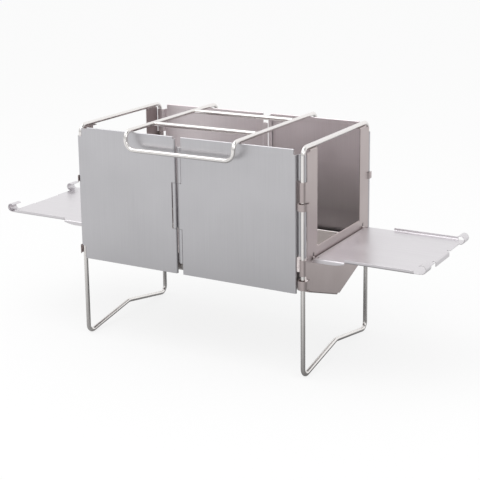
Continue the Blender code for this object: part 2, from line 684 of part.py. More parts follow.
def bed_plate_mesh(name, origin):
    """Back plate of the fire bed: knuckles on the pin, a slope, and an upstand with a hem turned inwards.

    It has every second knuckle, from one end. The front plate is the same piece, half turned."""
    slope = math.radians(BED_SLOPE)
    down, joggle_length = joggle(-PIN_WRAP_RADIUS, *BED_JOGGLE)
    knuckle_start = math.radians(90.0 + BED_SLOPE + WRAP_SWEEP)
    start = (
        PIN_WRAP_RADIUS * math.cos(knuckle_start),
        BED_AXIS_Z + PIN_WRAP_RADIUS * math.sin(knuckle_start),
    )
    slope_run = BED_HALF_WIDTH - SHEET / 2 - BEND * (1 - math.sin(slope))
    upstand_start = BED_AXIS_Z + slope_run * math.tan(slope) + BEND * math.cos(slope)
    moves = [bend(PIN_WRAP_RADIUS, -WRAP_SWEEP)] + down
    knuckle_end = sum(1 if move[0] == "line" else facets(move[2]) for move in moves)
    moves += [line(slope_run / math.cos(slope) - joggle_length), bend(BEND, 90.0 - BED_SLOPE)]
    moves += [line(BED_TOP - SHEET / 2 - HEM_RADIUS - upstand_start)]
    moves += [bend(HEM_RADIUS, 180.0), line(BED_HEM_DEPTH)]
    path = trace(start, BED_SLOPE + WRAP_SWEEP, moves)
    # between the knuckles the plate stops short of the pin
    edge_y, edge_rise = BED_EDGE_SETBACK * math.cos(slope), BED_EDGE_SETBACK * math.sin(slope)
    path[knuckle_end] = (edge_y, BED_AXIS_Z + edge_rise, -math.sin(slope), math.cos(slope))

    width = 2 * BED_PIN_HALF_LENGTH / BED_KNUCKLES
    stations = [-BED_HALF_LENGTH, -BED_PIN_HALF_LENGTH]
    for index in range(1, BED_KNUCKLES):
        joint = -BED_PIN_HALF_LENGTH + index * width
        stations += [joint - GAP / 2, joint + GAP / 2]
    stations += [BED_PIN_HALF_LENGTH, BED_HALF_LENGTH]

    def place(i, j):
        y, z, ny, nz = path[j]
        return (stations[i], y, z), (0.0, ny, nz)

    def present(i, j):
        if j >= knuckle_end:
            return True
        middle = (stations[i] + stations[i + 1]) / 2
        if abs(middle) > BED_PIN_HALF_LENGTH or stations[i + 1] - stations[i] < 2 * GAP:
            return False
        return int((middle + BED_PIN_HALF_LENGTH) / width) % 2 == 0

    return sheet_mesh(name, len(stations), len(path), place, present, origin)


def frame_path():
    """Closed middle line of a rod loop: top rail, two legs, and a foot bar that rises to its middle."""
    slope = math.radians(FOOT_ANGLE)
    # the bend beside each leg touches the ground, and the bar rises from there in a straight line
    bend_y, bend_z = FRAME_Y - ROD_BEND, ROD_RADIUS + ROD_BEND
    crest_z = bend_z - ROD_BEND / math.cos(slope) + bend_y * math.tan(slope)
    corner_z = crest_z - FRAME_Y * math.tan(slope)
    corners = [
        (FRAME_X, -FRAME_Y, TOP_ROD_Z), (FRAME_X, -FRAME_Y, corner_z), (FRAME_X, 0.0, crest_z),
        (FRAME_X, FRAME_Y, corner_z), (FRAME_X, FRAME_Y, TOP_ROD_Z),
    ]  # fmt: skip
    return rounded(corners, [ROD_BEND, ROD_BEND, FOOT_CREST_BEND, ROD_BEND, ROD_BEND], True)


def trivet_path():
    """Middle line of the trivet's long rod: back end, rail, handle, rail, back end."""
    x, y, rail_z = TRIVET_RAIL_X, TRIVET_HALF_DEPTH, TRIVET_RAIL_Z
    corners = [
        (-x, y, TRIVET_BACK_END_Z), (-x, y, rail_z), (-x, -y, rail_z), (-x, -y, HANDLE_Z),
        (x, -y, HANDLE_Z), (x, -y, rail_z), (x, y, rail_z), (x, y, TRIVET_BACK_END_Z),
    ]  # fmt: skip
    radii = [0.0, TRIVET_DROP_BEND, TRIVET_DROP_BEND, HANDLE_BEND, HANDLE_BEND]
    radii += [TRIVET_DROP_BEND, TRIVET_DROP_BEND, 0.0]
    return rounded(corners, radii, False)


def add_walls(sheet_steel, pin_steel):
    """Four wall panels, and the two centre hinges with a link and two pins each."""
    left = left_panel_mesh()
    right = right_panel_mesh()
    link = centre_link_mesh()
    add_object("front_left_panel", left, sheet_steel)
    add_object("back_right_panel", left, sheet_steel, half_turn=True)
    add_object("front_right_panel", right, sheet_steel)
    add_object("back_left_panel", right, sheet_steel, half_turn=True)
    add_object("front_centre_link", link, sheet_steel)
    add_object("back_centre_link", link, sheet_steel, half_turn=True)
    for x, word, turned_word in ((-LEFT_PIN_X, "left", "right"), (-RIGHT_PIN_X, "right", "left")):
        low, high = (x, -CENTRE_PIN_Y, CENTRE_LOW), (x, -CENTRE_PIN_Y, CENTRE_HIGH)
        pin = pin_mesh(f"front_centre_{word}_pin", low, high)
        add_object(f"front_centre_{word}_pin", pin, pin_steel)
        add_object(f"back_centre_{turned_word}_pin", pin, pin_steel, half_turn=True)


def add_frames(rod_steel):
    """The two rod loops."""
    path = frame_path()
    rod("right_rod_frame", path, True, rod_steel)
    rod("left_rod_frame", [(-x, -y, z) for x, y, z in path], True, rod_steel)


def add_ends(sheet_steel, pin_steel):
    """End plates, side tables and their pins. A table's origin is on its hinge axis."""
    right_axis, left_axis = (TABLE_AXIS_X, 0.0, TABLE_AXIS_Z), (-TABLE_AXIS_X, 0.0, TABLE_AXIS_Z)
    plate = end_plate_mesh()
    for word, turned in (("right", False), ("left", True)):
        add_table_lugs(add_object(f"{word}_end_plate", plate, sheet_steel, half_turn=turned), turned)
    table = table_mesh("right_side_table", right_axis)
    add_object("right_side_table", table, sheet_steel, right_axis)
    add_object("left_side_table", table, sheet_steel, left_axis, half_turn=True)
    pin = pin_mesh("table_hinge_pin", (0.0, -TABLE_PIN_HALF_LENGTH, 0.0), (0.0, TABLE_PIN_HALF_LENGTH, 0.0))
    add_object("right_table_hinge_pin", pin, pin_steel, right_axis)
    add_object("left_table_hinge_pin", pin, pin_steel, left_axis)


def add_fire_bed(sheet_steel, pin_steel):
    """Two hinged plates on one pin. Each piece's origin is on the pin's axis."""
    axis = (0.0, 0.0, BED_AXIS_Z)
    plate = bed_plate_mesh("fire_bed_back_plate", axis)
    add_object("fire_bed_back_plate", plate, sheet_steel, axis)
    add_object("fire_bed_front_plate", plate, sheet_steel, axis, half_turn=True)
    pin = pin_mesh("fire_bed_hinge_pin", (-BED_PIN_HALF_LENGTH, 0.0, 0.0), (BED_PIN_HALF_LENGTH, 0.0, 0.0))
    add_object("fire_bed_hinge_pin", pin, pin_steel, axis)


def add_trivet(rod_steel):
    """One long bent rod and two bars between its rails."""
    rod("trivet_rail_and_handle", trivet_path(), False, rod_steel)
    reach = TRIVET_RAIL_X - ROD_RADIUS - GAP
    for y, word in ((-TRIVET_BAR_Y, "front"), (TRIVET_BAR_Y, "back")):
        rod(f"trivet_{word}_bar", [(-reach, y, TRIVET_RAIL_Z), (reach, y, TRIVET_RAIL_Z)], False, rod_steel)


def main():
    clear_scene()
    sheet_steel = stainless("stainless_sheet", (0.52, 0.52, 0.53), 0.38)
    rod_steel = stainless("stainless_rod", (0.72, 0.71, 0.70), 0.22)
    pin_steel = stainless("stainless_pin", (0.45, 0.44, 0.43), 0.35)
    add_frames(rod_steel)
    add_walls(sheet_steel, pin_steel)
    add_ends(sheet_steel, pin_steel)
    add_fire_bed(sheet_steel, pin_steel)
    add_trivet(rod_steel)


main()
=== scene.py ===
"""Folding fire pit cooking stand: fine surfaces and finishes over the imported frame.

Metres, +Z up, X along the long side, the front at -Y. Every sheet part is worked out as the flat blank that
it is bent from: a grid of cells, some of them cut away, whose corners are carried round the bends. Every rod
is a circle carried along its bent middle line.
"""

import math

import bpy
import numpy as np
from mathutils import Matrix, Vector


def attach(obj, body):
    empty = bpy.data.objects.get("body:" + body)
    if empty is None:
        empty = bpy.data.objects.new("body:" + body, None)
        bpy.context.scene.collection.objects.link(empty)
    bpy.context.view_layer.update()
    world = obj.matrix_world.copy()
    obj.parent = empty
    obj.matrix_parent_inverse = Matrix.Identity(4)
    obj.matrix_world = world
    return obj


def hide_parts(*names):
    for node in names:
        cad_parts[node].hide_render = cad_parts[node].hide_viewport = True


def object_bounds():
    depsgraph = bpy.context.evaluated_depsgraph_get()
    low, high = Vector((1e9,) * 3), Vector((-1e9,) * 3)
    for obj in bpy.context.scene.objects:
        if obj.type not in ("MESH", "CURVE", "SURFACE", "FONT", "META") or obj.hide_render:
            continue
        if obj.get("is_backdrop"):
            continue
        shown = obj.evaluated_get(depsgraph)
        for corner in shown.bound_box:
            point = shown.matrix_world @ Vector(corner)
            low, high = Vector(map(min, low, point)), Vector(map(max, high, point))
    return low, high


bl_info = {
    "name": "Fire Pit Cooking Stand",
    "version": (1, 0, 0),
    "blender": (4, 5, 0),
    "location": "View3D > Sidebar > Stand",
    "description": "Builds a folding stainless steel fire pit cooking stand",
    "category": "Object",
}

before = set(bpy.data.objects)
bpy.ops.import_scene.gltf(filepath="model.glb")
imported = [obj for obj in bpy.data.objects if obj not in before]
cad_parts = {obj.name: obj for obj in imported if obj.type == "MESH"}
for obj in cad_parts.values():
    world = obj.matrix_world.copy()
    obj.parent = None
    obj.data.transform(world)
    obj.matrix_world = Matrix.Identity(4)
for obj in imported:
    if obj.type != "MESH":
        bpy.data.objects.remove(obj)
CAD_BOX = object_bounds()

# Stock
SHEET = 0.0010
ROD_RADIUS = 0.0030
PIN_RADIUS = 0.0015
GAP = 0.0003  # between pieces that turn or slide on each other
SLIT = 0.0004  # cut between the tabs and knuckles of one sheet
BEND = 0.0025
TIGHT_BEND = 0.0015
ARC_STEP = 10.0  # degrees of a sheet's bend for each facet
ROD_FINENESS = 1.6  # facets of a rod's bend, against a sheet's
END_ROUNDING = 0.3  # how far the rim of a rod's end draws in, against its radius
END_RINGS = 5
STRAIGHT_POINTS = 5
SECTION_SLANT = (0.62, 0.47, 0.63)  # a direction that no rod runs along
WRAP_SWEEP = 290.0  # degrees that a knuckle goes round its pin or leg
WRAP_RADIUS = ROD_RADIUS + GAP + SHEET / 2
PIN_WRAP_RADIUS = PIN_RADIUS + GAP + SHEET / 2
HEM_RADIUS = SHEET / 2 + GAP / 2
CUT_EDGE = 50.0  # degrees between faces from which an edge is a cut one
DECIMALS = 6
ROUNDING = 10**-DECIMALS  # heights closer than this are the same

# Rod loops
FRAME_X = 0.172
FRAME_Y = 0.100
TOP_ROD_Z = 0.305
ROD_BEND = 0.010
FOOT_ANGLE = 10.0
FOOT_CREST_BEND = 0.018

# Wall panels
PANEL_BOTTOM = 0.115
PANEL_TOP = TOP_ROD_Z - 0.001
PANEL_MIDDLE_Y = FRAME_Y + WRAP_RADIUS
PANEL_EDGE_DROP = 0.002
HEM_DEPTH = 0.006
HEM_END = 0.009
NOTCH = 0.004
KNUCKLE_LOW = PANEL_BOTTOM + 0.018
KNUCKLE_HIGH = PANEL_TOP - 0.013
FAR_FLAT_END = 0.0109
FAR_EDGE_HIGH = PANEL_TOP - 0.0075
FAR_WRAP_SWEEP = 128.0
CENTRE_HINGE_X = 0.0137
CENTRE_PIN_SPACING = 0.0094
CENTRE_PIN_Y = PANEL_MIDDLE_Y - PIN_WRAP_RADIUS
LEFT_PIN_X = CENTRE_HINGE_X + CENTRE_PIN_SPACING / 2
RIGHT_PIN_X = CENTRE_HINGE_X - CENTRE_PIN_SPACING / 2
PIN_CLEARANCE = PIN_WRAP_RADIUS + SHEET / 2 + GAP
CENTRE_LOW = PANEL_BOTTOM + 0.015
CENTRE_HIGH = PANEL_TOP - 0.014
CENTRE_EDGE_DROP = 0.0035
MIDDLE_KNUCKLE = (PANEL_BOTTOM + 0.0625, PANEL_TOP - 0.063)

# Heights of what holds the legs: hooks and wraps of the end plates, and far knuckles of the panels
UPPER_TAB_Z = KNUCKLE_HIGH - 0.066
TABS = ((KNUCKLE_LOW - 0.012, KNUCKLE_LOW), (UPPER_TAB_Z, UPPER_TAB_Z + 0.009))
LEG_WRAPS = ((KNUCKLE_LOW + 0.006, KNUCKLE_LOW + 0.027), (UPPER_TAB_Z + 0.0106, UPPER_TAB_Z + 0.0366))
FAR_KNUCKLES = ((LEG_WRAPS[0][1] + 0.003, TABS[1][0] - SLIT), (LEG_WRAPS[1][1] + 2 * SLIT, FAR_EDGE_HIGH))

# End plates
PLATE_X = FRAME_X + WRAP_RADIUS
PLATE_EDGE_Y = FRAME_Y - ROD_RADIUS - 2 * GAP
TAB_START_Y = FRAME_Y - 0.009
TAB_RADIUS = WRAP_RADIUS + SHEET + 0.0015
TAB_JOGGLE = (0.002, 45.0)
FULL_HOOK_SWEEP = 215.0
HALF_HOOK_SWEEP = 52.0
LEG_WRAP_SWEEP = 250.0
WINDOW_HALF_WIDTH = FRAME_Y - 0.033
WEB_TOP = PANEL_BOTTOM + 0.056
WEB_HEM_DEPTH = 0.005
LIP_END_Y = FRAME_Y - 0.013
STRIP_CORNER_Z = TOP_ROD_Z - 0.006
LIP_LENGTH = WRAP_RADIUS + ROD_RADIUS - TIGHT_BEND  # the lip reaches in to the rail's inner side
FLANGE_INNER_X = FRAME_X - 0.0115
FLANGE_END_Y = FRAME_Y - 0.012
FLANGE_RELIEF_Y = 0.004

# Fire bed
BED_HALF_LENGTH = FRAME_X - 0.0055
BED_HALF_WIDTH = FRAME_Y - WRAP_RADIUS - SHEET / 2 - 0.0012
BED_SLOPE = 19.0
BED_AXIS_Z = PANEL_BOTTOM + 0.0031 - BED_HALF_WIDTH * math.tan(math.radians(BED_SLOPE))
BED_TOP = PANEL_BOTTOM + 0.027
BED_HEM_DEPTH = 0.005
BED_PIN_HALF_LENGTH = FLANGE_INNER_X - 0.0015
BED_KNUCKLES = 8
BED_JOGGLE = (0.002, 35.0)
BED_EDGE_SETBACK = PIN_WRAP_RADIUS + SHEET / 2 + 0.0024

# Side tables
TABLE_TOP = WEB_TOP - 0.012
TABLE_AXIS_X = PLATE_X + PIN_WRAP_RADIUS + 0.0019
TABLE_AXIS_Z = TABLE_TOP - SHEET / 2 - PIN_WRAP_RADIUS
TABLE_MIDDLE_Z = TABLE_TOP - SHEET / 2
TABLE_HALF_WIDTH = FRAME_Y - 0.017
TABLE_FLAT_Y = TABLE_HALF_WIDTH - SHEET / 2 - TIGHT_BEND
TABLE_EDGE_X = TABLE_AXIS_X + TOP_ROD_Z - TABLE_AXIS_Z - 0.0068
TABLE_RIM_HEIGHT = 0.0035
RIM_START_X = TABLE_AXIS_X + 0.042
RIM_END_X = TABLE_EDGE_X - 0.008
EAR_DEPTH = 0.005
EAR_FOOT_X = PLATE_X + SHEET / 2 + GAP
EAR_ROUND_X = TABLE_AXIS_X + 0.020
EAR_STATIONS = np.linspace(0.0, 0.46, 12) * math.pi  # angles along the ear's quarter round, short of its end
EAR_RELIEF = 0.0016
HOOK_X = TABLE_EDGE_X + 0.0015
HOOK_RADIUS = 0.0055
HOOK_SWEEP = 225.0
HOOK_OUTER_Y = TABLE_HALF_WIDTH - 0.003
HOOK_INNER_Y = HOOK_OUTER_Y - 0.018
CURL_END_Y = HOOK_OUTER_Y - 0.004
LUG_WIDTH = 0.0028
LUG_ROOT = 0.005
LUG_JOGGLE = (0.0015, 30.0)
TABLE_PIN_HALF_LENGTH = HOOK_OUTER_Y + SLIT
TABLE_CUT_X = TABLE_AXIS_X + 0.004
TABLE_NECK_X = TABLE_AXIS_X + 0.010
FLAP_HALF_WIDTH = 0.025
FLAP_NOTCH = 0.004
FLAP_DROP = 0.007

# Trivet
TRIVET_RAIL_X = 0.083
TRIVET_RAIL_Z = PANEL_TOP + GAP + ROD_RADIUS
TRIVET_HALF_DEPTH = FRAME_Y + 0.019
TRIVET_BAR_Y = 0.053
HANDLE_Z = TOP_ROD_Z - 0.022
HANDLE_BEND = 0.013
TRIVET_BACK_END_Z = TOP_ROD_Z - 0.010
TRIVET_DROP_BEND = 0.010


def linear(code):
    """Linear colour of an sRGB hex value."""
    values = [int(code[i : i + 2], 16) / 255 for i in (1, 3, 5)]
    return tuple(v / 12.92 if v <= 0.04045 else ((v + 0.055) / 1.055) ** 2.4 for v in values)


# Shapes


def line(length):
    """A straight stretch of a path."""
    return (length, 0.0, 0.0)


def bend(radius, degrees):
    """A bend of a path, to the left for a positive angle."""
    return (0.0, radius, degrees)


def facets(degrees):
    """Number of facets of a bend."""
    return max(2, round(abs(degrees) / ARC_STEP))


def on_circle(centre, radius, degrees):
    """The point of a circle at an angle."""
    turn = math.radians(degrees)
    return centre[0] + radius * math.cos(turn), centre[1] + radius * math.sin(turn)


def joggle(shift, radius, degrees):
    """Moves of a double bend that shifts a path sideways, and the length it takes along the path."""
    turn = math.radians(degrees)
    slant = (abs(shift) - 2 * radius * (1 - math.cos(turn))) / math.sin(turn)
    first = degrees if shift > 0 else -degrees
    length = 2 * radius * math.sin(turn) + slant * math.cos(turn)
    return [bend(radius, first), line(slant), bend(radius, -first)], length


def trace(start, heading, moves):
    """Rows of (u, v, normal u, normal v) along straight stretches and arcs.

    An arc's point is its centre plus the radius times (sin, -cos) of the heading, and the normal is the
    heading turned a quarter to the left, (-sin, cos)."""
    u, v = start
    angle = math.radians(heading)
    rows = [[[u, v, -math.sin(angle), math.cos(angle)]]]
    for length, radius, degrees in moves:
        if radius:
            side = math.copysign(radius, degrees)
            centre_u, centre_v = u - side * math.sin(angle), v + side * math.cos(angle)
            steps = facets(degrees)
            angles = angle + math.radians(degrees) * np.arange(1, steps + 1) / steps
            sin, cos = np.sin(angles), np.cos(angles)
            rows.append(np.column_stack([centre_u + side * sin, centre_v - side * cos, -sin, cos]))
            angle = angles[-1]
        else:
            u, v = u + length * math.cos(angle), v + length * math.sin(angle)
            rows.append([[u, v, -math.sin(angle), math.cos(angle)]])
        u, v = rows[-1][-1][:2]
    return np.vstack(rows)


def between(low, value, high):
    """Where a value lies in a range."""
    return (low < value) & (value < high)


def in_ranges(value, ranges):
    """Where a value lies in one of some ranges."""
    return np.any([between(low, value, high) for low, high in ranges], axis=0)


def mirrored(values):
    """Stations on both sides of a middle line, from the ones on its positive side."""
    values = np.array(values)
    return np.concatenate([-values[::-1], values])


def stack(*parts):
    """Coordinates that broadcast against each other, as one array with x, y and z last."""
    return np.stack(np.broadcast_arrays(*parts), axis=-1)


def add_mesh(name, vertices, faces, uv=None, inner=None):
    """Links a smooth mesh whose faces point outwards. A sheet's vertices also have a place on its blank, as
    UV, and a value that is 1 on the inner side.

    A face is cut into triangles from its first corner, and that corner's dot product with the cross product
    of the other two, summed over all triangles, is six times the volume. Where the sum is negative the
    faces point inwards, and are turned round."""
    faces = [np.asarray(group) for group in faces]
    volume = 0.0
    for group in faces:
        corners = vertices[group]
        for k in range(1, group.shape[1] - 1):
            cross = np.cross(corners[:, k], corners[:, k + 1])
            volume += np.einsum("ij,ij->", corners[:, 0], cross)
    if volume < 0:
        faces = [group[:, ::-1] for group in faces]
    used = np.unique(np.concatenate([group.ravel() for group in faces]))
    renumber = np.zeros(len(vertices), int)
    renumber[used] = np.arange(len(used))
    rows = [row for group in faces for row in renumber[group].tolist()]
    mesh = bpy.data.meshes.new(name)
    mesh.from_pydata(vertices[used].tolist(), [], rows)
    if uv is not None:
        layer = mesh.uv_layers.new(name="blank")
        order = np.zeros(len(mesh.loops), int)
        mesh.loops.foreach_get("vertex_index", order)
        layer.data.foreach_set("uv", uv[used][order].astype(np.float32).ravel())
        side = mesh.attributes.new("inner_side", "FLOAT", "POINT")
        side.data.foreach_set("value", inner[used].astype(np.float32))
    mesh.shade_smooth()
    item = bpy.data.objects.new(name, mesh)
    bpy.context.scene.collection.objects.link(item)
    return item


def steps_along(points, axis):
    """Distance from the first grid line to each other one, over the widest of each step."""
    widest = np.linalg.norm(np.diff(points, axis=axis), axis=2).max(axis=1 - axis)
    return np.concatenate([[0.0], np.cumsum(widest)])


def sheet_piece(name, points, normals, keep, half_turn=False):
    """A closed bent sheet: the middle surface's points, half the thickness to both sides along the normals.

    Each cell of the blank that is kept gives a face on both sides, and where its neighbour is cut away, a
    face across the thickness. The inner side is the one whose normal, in plan, points back at the stand's
    middle, and on a level sheet the one against the normals. A narrow bevel rounds the cut edges as tumbling
    does."""
    unit = normals / np.linalg.norm(normals, axis=2, keepdims=True)
    count = points.shape[0] * points.shape[1]
    offset = unit * SHEET / 2
    vertices = np.concatenate([(points + offset).reshape(-1, 3), (points - offset).reshape(-1, 3)])
    inner = (np.sum(points[..., :2] * unit[..., :2], axis=2) < 0).ravel()
    if half_turn:
        vertices = vertices * (-1, -1, 1)
    index = np.arange(count).reshape(points.shape[:2])
    corners = np.stack([index[:-1, :-1], index[1:, :-1], index[1:, 1:], index[:-1, 1:]], axis=-1)
    around = np.pad(keep, 1)
    neighbours = (around[1:-1, :-2], around[2:, 1:-1], around[1:-1, 2:], around[:-2, 1:-1])
    faces = [corners[keep], corners[keep][:, ::-1] + count]
    for side, neighbour in enumerate(neighbours):
        edge = corners[keep & ~neighbour][:, [side, (side + 1) % 4]]
        faces.append(np.column_stack([edge + count, edge[:, ::-1]]))
    blank = np.stack(np.meshgrid(steps_along(points, 0), steps_along(points, 1), indexing="ij"), axis=-1)
    uv = np.tile(blank.reshape(-1, 2), (2, 1))
    item = add_mesh(name, vertices, faces, uv, np.concatenate([inner, ~inner]))
    edge = item.modifiers.new("tumbled_edge", "BEVEL")
    edge.width = bpy.context.scene.stand_sizes.edge_rounding
    edge.segments = 2
    edge.limit_method = "ANGLE"
    edge.angle_limit = math.radians(CUT_EDGE)
    edge.use_clamp_overlap = False
    item.modifiers.new("flat_faces", "WEIGHTED_NORMAL")
    return item


def rounded(corners, radii, closed=False):
    """A polyline with each inner corner replaced by an arc.

    The arc's points are the centre plus the two end radii, each weighted by the sine of its share of the
    turn, over the sine of the whole turn."""
    corners = np.array(corners, float)
    count = len(corners)
    path = []
    for index, radius in enumerate(radii):
        corner = corners[index]
        if not closed and index in (0, count - 1):
            path.append(corner[None])
            continue
        back = corners[index - 1] - corner
        ahead = corners[(index + 1) % count] - corner
        back, ahead = back / np.linalg.norm(back), ahead / np.linalg.norm(ahead)
        turn = math.pi - math.acos(float(back @ ahead))
        reach = radius * math.tan(turn / 2)
        middle = (back + ahead) / np.linalg.norm(back + ahead)
        centre = corner + middle * math.hypot(radius, reach)
        share = np.linspace(0.0, 1.0, facets(math.degrees(turn) * ROD_FINENESS) + 1)[:, None]
        first = (corner + back * reach - centre) * np.sin((1 - share) * turn)
        second = (corner + ahead * reach - centre) * np.sin(share * turn)
        path.append(centre + (first + second) / math.sin(turn))
    return np.vstack(path)


def rod_piece(name, path, radius, closed=False, half_turn=False):
    """A circle carried along a path, square to it, with rounded ends where the path is open.

    The circle's two directions are the path's direction crossed with one fixed slanted direction, and
    crossed again. The rings at an end draw in along a quarter circle."""
    path = np.asarray(path, float)
    scale = np.ones(len(path))
    if closed:
        ahead = np.roll(path, -1, axis=0) - np.roll(path, 1, axis=0)
    else:
        ahead = np.gradient(path, axis=0)
    ahead = ahead / np.linalg.norm(ahead, axis=1, keepdims=True)
    if not closed:
        arc = np.linspace(0.0, math.pi / 2, END_RINGS)
        inset = END_ROUNDING * radius * (1 - np.sin(arc))[:, None]
        shrink = 1 - END_ROUNDING * (1 - np.cos(arc))
        path = np.vstack([path[0] + ahead[0] * inset[::-1], path[1:-1], path[-1] - ahead[-1] * inset])
        first, last = (np.repeat(end, END_RINGS, axis=0) for end in (ahead[:1], ahead[-1:]))
        ahead = np.vstack([first, ahead[1:-1], last])
        scale = np.concatenate([shrink[::-1], scale[1:-1], shrink])
    side = np.cross(ahead, SECTION_SLANT)
    side = side / np.linalg.norm(side, axis=1, keepdims=True)
    up = np.cross(side, ahead)
    turn = np.linspace(0.0, 2 * math.pi, bpy.context.scene.stand_sizes.rod_sides, endpoint=False)
    circle = np.cos(turn)[None, :, None] * side[:, None] + np.sin(turn)[None, :, None] * up[:, None]
    vertices = (path[:, None] + circle * (radius * scale)[:, None, None]).reshape(-1, 3)
    count, sides = len(path), len(turn)
    index = np.arange(count * sides).reshape(count, sides)
    here, following = (index, np.roll(index, -1, axis=0)) if closed else (index[:-1], index[1:])
    faces = [np.stack([here, np.roll(here, -1, 1), np.roll(following, -1, 1), following], -1).reshape(-1, 4)]
    if not closed:
        vertices = np.vstack([vertices, path[:1], path[-1:]])
        first, last = index[0], index[-1]
        faces.append(np.column_stack([np.roll(first, -1), first, np.full(sides, count * sides)]))
        faces.append(np.column_stack([last, np.roll(last, -1), np.full(sides, count * sides + 1)]))
    if half_turn:
        vertices = vertices * (-1, -1, 1)
    return add_mesh(name, vertices, faces)


def panel_levels():
    """Heights where a wall panel's outline or knuckles change, up to where the hem starts to turn."""
    levels = [PANEL_BOTTOM, KNUCKLE_LOW, KNUCKLE_HIGH]
    levels += [PANEL_TOP - PANEL_EDGE_DROP, PANEL_TOP - CENTRE_EDGE_DROP]
    for level in MIDDLE_KNUCKLE:
        levels += [level - SLIT / 2, level + SLIT / 2]
    for low, high in FAR_KNUCKLES:
        levels += [low, high]
    return np.unique(np.round(levels, DECIMALS))


def wall_panel(name, path, has_cell, half_turn):
    """A wall panel: a path in plan carried up through the panel's levels, then round the hem.

    Each point is the path's point at the level's height. In the hem it moves along the path's normal and up
    by the hem's own path."""
    levels = panel_levels()
    hem = trace((0.0, PANEL_TOP - HEM_RADIUS - SHEET / 2), 90.0, [bend(HEM_RADIUS, -180.0), line(HEM_DEPTH)])
    u, v, nu, nv = path.T[:, :, None]
    inward, height, normal_in, normal_up = hem.T[:, None]
    points = np.hstack([stack(u, v, levels[None]), stack(u + nu * inward, v + nv * inward, height)])
    flat_normals = stack(nu, nv, 0 * levels[None])
    normals = np.hstack([flat_normals, stack(-nu * normal_in, -nv * normal_in, -normal_up)])
    middles = np.concatenate([(levels[1:] + levels[:-1]) / 2, np.full(len(hem), PANEL_TOP)])
    keep = has_cell(np.arange(len(path) - 1)[:, None], middles[None])
    return sheet_piece(name, points, normals, keep, half_turn)


def in_middle_knuckle(height, margin):
    """Where a height lies in the middle knuckle of a centre pin, grown by a margin at both ends."""
    low, high = MIDDLE_KNUCKLE
    return between(low - margin, height, high + margin)


def leg_wrapped_panel(name, half_turn):
    """The panel that wraps its leg, with the lower and upper knuckles on the left centre pin."""
    start = on_circle((-FRAME_X, -FRAME_Y), WRAP_RADIUS, -90.0 - WRAP_SWEEP)
    hemmed = FRAME_X - LEFT_PIN_X - NOTCH - HEM_END - PIN_CLEARANCE
    flat = [line(NOTCH), line(HEM_END), line(hemmed), line(PIN_CLEARANCE)]
    moves = [bend(WRAP_RADIUS, WRAP_SWEEP)] + flat + [bend(PIN_WRAP_RADIUS, WRAP_SWEEP)]
    path = trace(start, -WRAP_SWEEP, moves)
    notch_column = facets(WRAP_SWEEP)
    hem_column = notch_column + 2

    def has_cell(i, height):
        leg = between(KNUCKLE_LOW, height, KNUCKLE_HIGH)
        below_hem = height < PANEL_TOP - PANEL_EDGE_DROP
        centre = ~in_middle_knuckle(height, SLIT / 2)
        centre = centre & ((i == hem_column + 1) | (height < PANEL_TOP - CENTRE_EDGE_DROP))
        flat_cell = np.where(i < hem_column, below_hem, (i == hem_column) | centre)
        return np.where(i <= notch_column, leg, flat_cell)

    return wall_panel(name, path, has_cell, half_turn)


def far_wrapped_panel(name, half_turn):
    """The panel with the middle knuckle on the right centre pin, bent in to pass behind its leg."""
    start = on_circle((-RIGHT_PIN_X, -CENTRE_PIN_Y), PIN_WRAP_RADIUS, -90.0 - WRAP_SWEEP)
    flat = [line(PIN_CLEARANCE), line(FRAME_X - FAR_FLAT_END + RIGHT_PIN_X - PIN_CLEARANCE)]
    behind = 2 * WRAP_RADIUS - 2 * BEND
    far = [bend(BEND, 90.0), line(behind), bend(BEND, -90.0), line(FAR_FLAT_END - 2 * BEND)]
    moves = [bend(PIN_WRAP_RADIUS, WRAP_SWEEP)] + flat + far + [bend(WRAP_RADIUS, -FAR_WRAP_SWEEP)]
    path = trace(start, -WRAP_SWEEP, moves)
    hem_column = facets(WRAP_SWEEP) + 1
    edge_end = hem_column + 1 + facets(90.0)

    def has_cell(i, height):
        far_cell = np.where(i < edge_end, height < FAR_EDGE_HIGH, in_ranges(height, FAR_KNUCKLES))
        return np.where(i < hem_column, in_middle_knuckle(height, -SLIT / 2), (i == hem_column) | far_cell)

    return wall_panel(name, path, has_cell, half_turn)


def centre_link(name, half_turn):
    """A centre link: a web behind the two pins, curled round the left one at mid height, and round the right
    one above and below that."""
    start = on_circle((-LEFT_PIN_X, -CENTRE_PIN_Y), PIN_WRAP_RADIUS, 90.0 + WRAP_SWEEP)
    curl = bend(PIN_WRAP_RADIUS, -WRAP_SWEEP)
    web = [line(PIN_CLEARANCE), line(CENTRE_PIN_SPACING - 2 * PIN_CLEARANCE), line(PIN_CLEARANCE)]
    path = trace(start, WRAP_SWEEP, [curl] + web + [curl])
    cuts = [level + side * SLIT / 2 for level in MIDDLE_KNUCKLE for side in (-1, 1)]
    levels = np.array([CENTRE_LOW, *cuts, CENTRE_HIGH])
    web_column = facets(WRAP_SWEEP) + 1
    i = np.arange(len(path) - 1)[:, None]
    height = (levels[1:] + levels[:-1])[None] / 2
    right = ~in_middle_knuckle(height, SLIT / 2)
    keep = np.where(i < web_column, in_middle_knuckle(height, -SLIT / 2), (i == web_column) | right)
    u, v, nu, nv = path.T[:, :, None]
    points, normals = stack(u, v, levels[None]), stack(nu, nv, 0 * levels[None])
    return sheet_piece(name, points, normals, keep, half_turn)


def bed_line_height(y, offset):
    """Height of a surface parallel to the bed's slope, offset square to the slope from the pin's axis."""
    slope = math.radians(BED_SLOPE)
    return BED_AXIS_Z + offset / math.cos(slope) + np.abs(y) * math.tan(slope)


